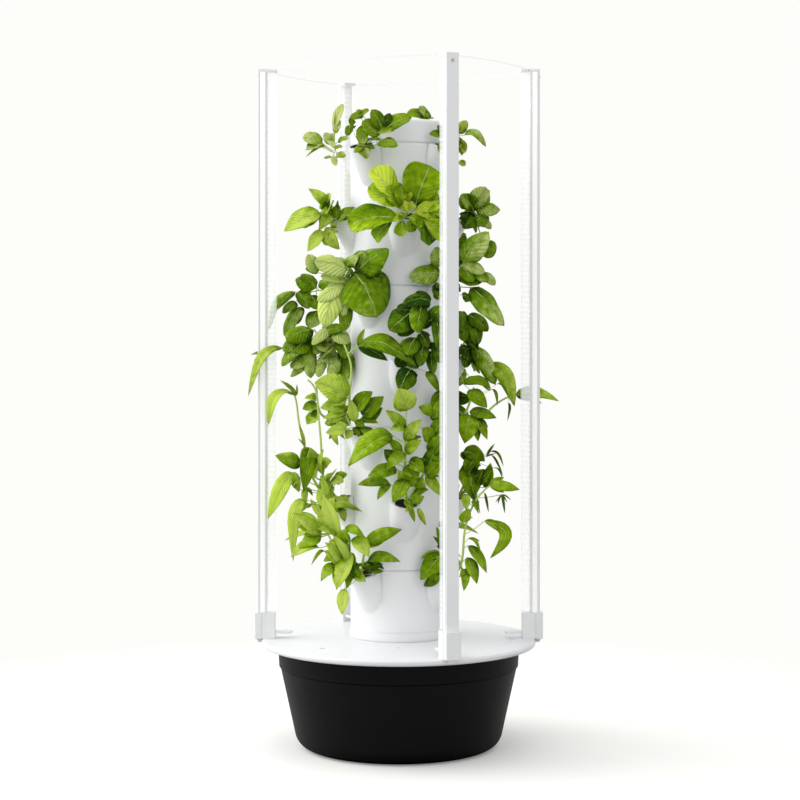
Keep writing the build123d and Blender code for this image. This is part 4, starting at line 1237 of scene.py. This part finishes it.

# Milky acrylic: most of what is behind shows, washed out. Its glow, a little stronger at each lamp, is
# painted light that keeps it white.
lens_clear, tree, shader = surface(
    "milky_clear_acrylic",
    {
        "Base Color": linear("#f6f8f8"),
        "Roughness": 0.12,
        "IOR": 1.49,
        "Specular IOR Level": 0.3,
        "Alpha": 0.22,
        "Emission Color": linear("#ffffff"),
    },
)
# Painted glow, in beats at the lamps' pitch.
place = add(tree, "ShaderNodeTexCoord").outputs["Object"]
along = add(tree, "ShaderNodeSeparateXYZ", {"Vector": place})
beat = add(tree, "ShaderNodeMath", {0: along.outputs["Z"], 1: LAMP_PITCH / 2}, operation="PINGPONG")
glow = add(
    tree,
    "ShaderNodeMapRange",
    {"Value": beat.outputs[0], "From Max": LAMP_PITCH / 2, "To Min": 0.2, "To Max": 0.3},
)
tree.links.new(glow.outputs["Result"], shader.inputs["Emission Strength"])
dress(lens_clear, *[f"light_lens_{side}" for side in SIDES])

# Printed white solder mask: a smooth, pale ground behind the lamps.
board = moulded(
    "white_solder_mask",
    "#e8e8e2",
    "#efefe9",
    cloud=30 * MM,
    grain=2 * MM,
    depth=0.03 * MM,
    sockets={"Roughness": 0.4, "IOR": 1.5, "Specular IOR Level": 0.4},
)
dress(board, *[f"led_strip_{side}" for side in SIDES])

# Satin white ABS as on the column, with crisper edges.
socket_white = moulded(
    "satin_white_abs_sockets",
    "#e6e7e8",
    "#ecedee",
    cloud=40 * MM,
    grain=2 * MM,
    depth=0.05 * MM,
    sockets={"Roughness": 0.36, "IOR": 1.53, "Specular IOR Level": 0.4},
)
dress(socket_white, *[f"post_end_cap_{side}" for side in SIDES])

# The sockets as moulded, with hooks that end on the lid's edge, above the tub.
HOOK_LOW = 241 * MM
for side in SIDES:
    bm = bmesh.new()
    bm.from_mesh(nodes[f"post_socket_{side}"].data)
    bmesh.ops.remove_doubles(bm, verts=bm.verts, dist=0.01 * MM)
    cut = bmesh.ops.bisect_plane(
        bm,
        geom=[*bm.verts, *bm.edges, *bm.faces],
        plane_co=(0, 0, HOOK_LOW),
        plane_no=(0, 0, 1),
        clear_inner=True,
    )
    rim = [item for item in cut["geom_cut"] if isinstance(item, bmesh.types.BMEdge)]
    bmesh.ops.holes_fill(bm, edges=rim)
    bmesh.ops.recalc_face_normals(bm, faces=bm.faces)
    hooked = finish_piece(f"hooked_socket_{side}", bm, socket_white, "root", smooth=False)
    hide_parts(f"post_socket_{side}")

# Bright zinc plate: small heads with clear reflections.
zinc, tree, shader = surface(
    "bright_zinc_screw",
    {"Base Color": linear("#a9abad"), "Metallic": 1.0, "Roughness": 0.3},
)
dress(zinc, "post_screws", "cover_pivot_screw")

# Drawn clear acrylic: a faint pale line against the room.
rod_clear, tree, shader = surface(
    "clear_acrylic_rod",
    {"Base Color": linear("#eef2f3"), "Roughness": 0.1, "IOR": 1.49, "Alpha": 0.14},
)
dress(rod_clear, "top_tie_rods")


# Pump and pipes: the submersible pump under the column, its feet, the riser and the lead's gland.
# Moulded plastics and rubber, out of sight under the lid.

# Moulded black ABS: a dull black with a slight sheen.
pump_black = moulded(
    "black_pump_housing",
    "#101012",
    "#171719",
    cloud=30 * MM,
    grain=1.5 * MM,
    depth=0.1 * MM,
    sockets={"Roughness": 0.45, "IOR": 1.5, "Specular IOR Level": 0.3},
)
dress(pump_black, "pump_body", "pump_intake_cover")

# Moulded rubber: black without highlights.
rubber = moulded(
    "black_rubber",
    "#0f0f0f",
    "#161616",
    cloud=15 * MM,
    grain=1.5 * MM,
    depth=0.1 * MM,
    sockets={"Roughness": 0.75, "IOR": 1.5, "Specular IOR Level": 0.25},
)
dress(rubber, "pump_feet", "cord_gland")

# Extruded PVC pipe: a smooth, slightly grey white.
pipe = moulded(
    "white_extruded_pipe",
    "#d9dbdc",
    "#e2e4e5",
    cloud=40 * MM,
    grain=2 * MM,
    depth=0.04 * MM,
    sockets={"Roughness": 0.35, "IOR": 1.5, "Specular IOR Level": 0.4},
)
dress(pipe, "pump_impeller", "riser_tube")


# Studio: a pale floor that takes the shadow and fades into a white room, brighter in front, above
# and on the left, one soft key light from the left, and a camera level with the column's middle.
FLOOR_R = 4.0
bm = bmesh.new()
bmesh.ops.create_circle(bm, cap_ends=True, segments=64, radius=FLOOR_R)
mesh = bpy.data.meshes.new("floor")
bm.to_mesh(mesh)
bm.free()
floor = bpy.data.objects.new("floor", mesh)
bpy.context.scene.collection.objects.link(floor)

# Matt white paper: no highlight. It throws back less light than it shows, so that the tub stays
# black, and clears away with distance from the object.
paper, tree, shader = surface("matt_white_paper", {"Roughness": 1.0, "Specular IOR Level": 0.0})
rays = add(tree, "ShaderNodeLightPath")
tones = add(tree, "ShaderNodeMix", {"Factor": rays.outputs["Is Diffuse Ray"]}, data_type="RGBA")
tones.inputs[6].default_value = linear("#f6f6f3")
tones.inputs[7].default_value = linear("#a0a09e")
tree.links.new(tones.outputs[2], shader.inputs["Base Color"])
place = add(tree, "ShaderNodeTexCoord").outputs["Object"]
reach = add(tree, "ShaderNodeVectorMath", {0: place}, operation="LENGTH")
fade = add(
    tree,
    "ShaderNodeMapRange",
    {"Value": reach.outputs["Value"], "From Min": 0.7, "From Max": 1.7},
    interpolation_type="SMOOTHSTEP",
)
clear = add(tree, "ShaderNodeBsdfTransparent")
glow = add(tree, "ShaderNodeEmission", {"Color": linear("#fdfdfa"), "Strength": 1.0})
share = add(tree, "ShaderNodeMath", {0: rays.outputs["Is Camera Ray"], 1: 0.16}, operation="MULTIPLY")
pale = add(tree, "ShaderNodeMixShader", {0: share.outputs[0], 1: shader.outputs[0], 2: glow.outputs[0]})
mixed = add(tree, "ShaderNodeMixShader", {0: fade.outputs[0], 1: pale.outputs[0], 2: clear.outputs[0]})
tree.links.new(mixed.outputs[0], tree.nodes["Material Output"].inputs["Surface"])
mesh.materials.append(paper)

world = bpy.data.worlds.new("studio")
bpy.context.scene.world = world
world.use_nodes = True
tree = world.node_tree
rays = add(tree, "ShaderNodeLightPath")
seen = rays.outputs["Is Camera Ray"]
for ray in ("Is Glossy Ray", "Is Transmission Ray"):
    seen = add(tree, "ShaderNodeMath", {0: seen, 1: rays.outputs[ray]}, operation="MAXIMUM").outputs[0]
place = add(tree, "ShaderNodeTexCoord").outputs["Generated"]
way = add(tree, "ShaderNodeSeparateXYZ", {"Vector": place})
front = add(
    tree,
    "ShaderNodeMapRange",
    {"Value": way.outputs["Y"], "From Min": -1.0, "From Max": 0.0, "To Min": 0.82, "To Max": 0.5},
)
over = add(
    tree,
    "ShaderNodeMapRange",
    {"Value": way.outputs["Z"], "From Min": 0.0, "From Max": 1.0, "To Min": 0.0, "To Max": 0.85},
)
beside = add(
    tree,
    "ShaderNodeMapRange",
    {"Value": way.outputs["X"], "From Min": -1.0, "From Max": 1.0, "To Min": 0.14, "To Max": -0.2},
)
strength = add(tree, "ShaderNodeMath", {0: front.outputs[0], 1: over.outputs[0]}, operation="ADD")
strength = add(tree, "ShaderNodeMath", {0: strength.outputs[0], 1: beside.outputs[0]}, operation="ADD")
room = add(tree, "ShaderNodeBackground", {"Color": linear("#ffffff"), "Strength": strength.outputs[0]})
white = add(tree, "ShaderNodeBackground", {"Color": linear("#fdfdfa"), "Strength": 1.0})
mixed = add(tree, "ShaderNodeMixShader", {0: seen, 1: room.outputs[0], 2: white.outputs[0]})
tree.links.new(mixed.outputs[0], tree.nodes["World Output"].inputs["Surface"])

key = bpy.data.lights.new("key", "AREA")
key.shape = "DISK"
key.size = 4.4
key.energy = 156
lamp = bpy.data.objects.new("key", key)
lamp.location = (-4.0, 0.35, 2.5)
lamp.rotation_euler = (Vector((0, 0, 0.6)) - lamp.location).to_track_quat("-Z", "Y").to_euler()
bpy.context.scene.collection.objects.link(lamp)

camera = bpy.data.cameras.new("camera")
camera.lens = 90
camera.sensor_width = 36
camera.shift_x = 0.0016
camera.shift_y = -0.1
eye = bpy.data.objects.new("camera", camera)
eye.location = (0, -4.66, 0.99)
eye.rotation_euler = (math.pi / 2, 0, 0)
bpy.context.scene.collection.objects.link(eye)
bpy.context.scene.camera = eye
bpy.context.scene.view_settings.view_transform = "Standard"
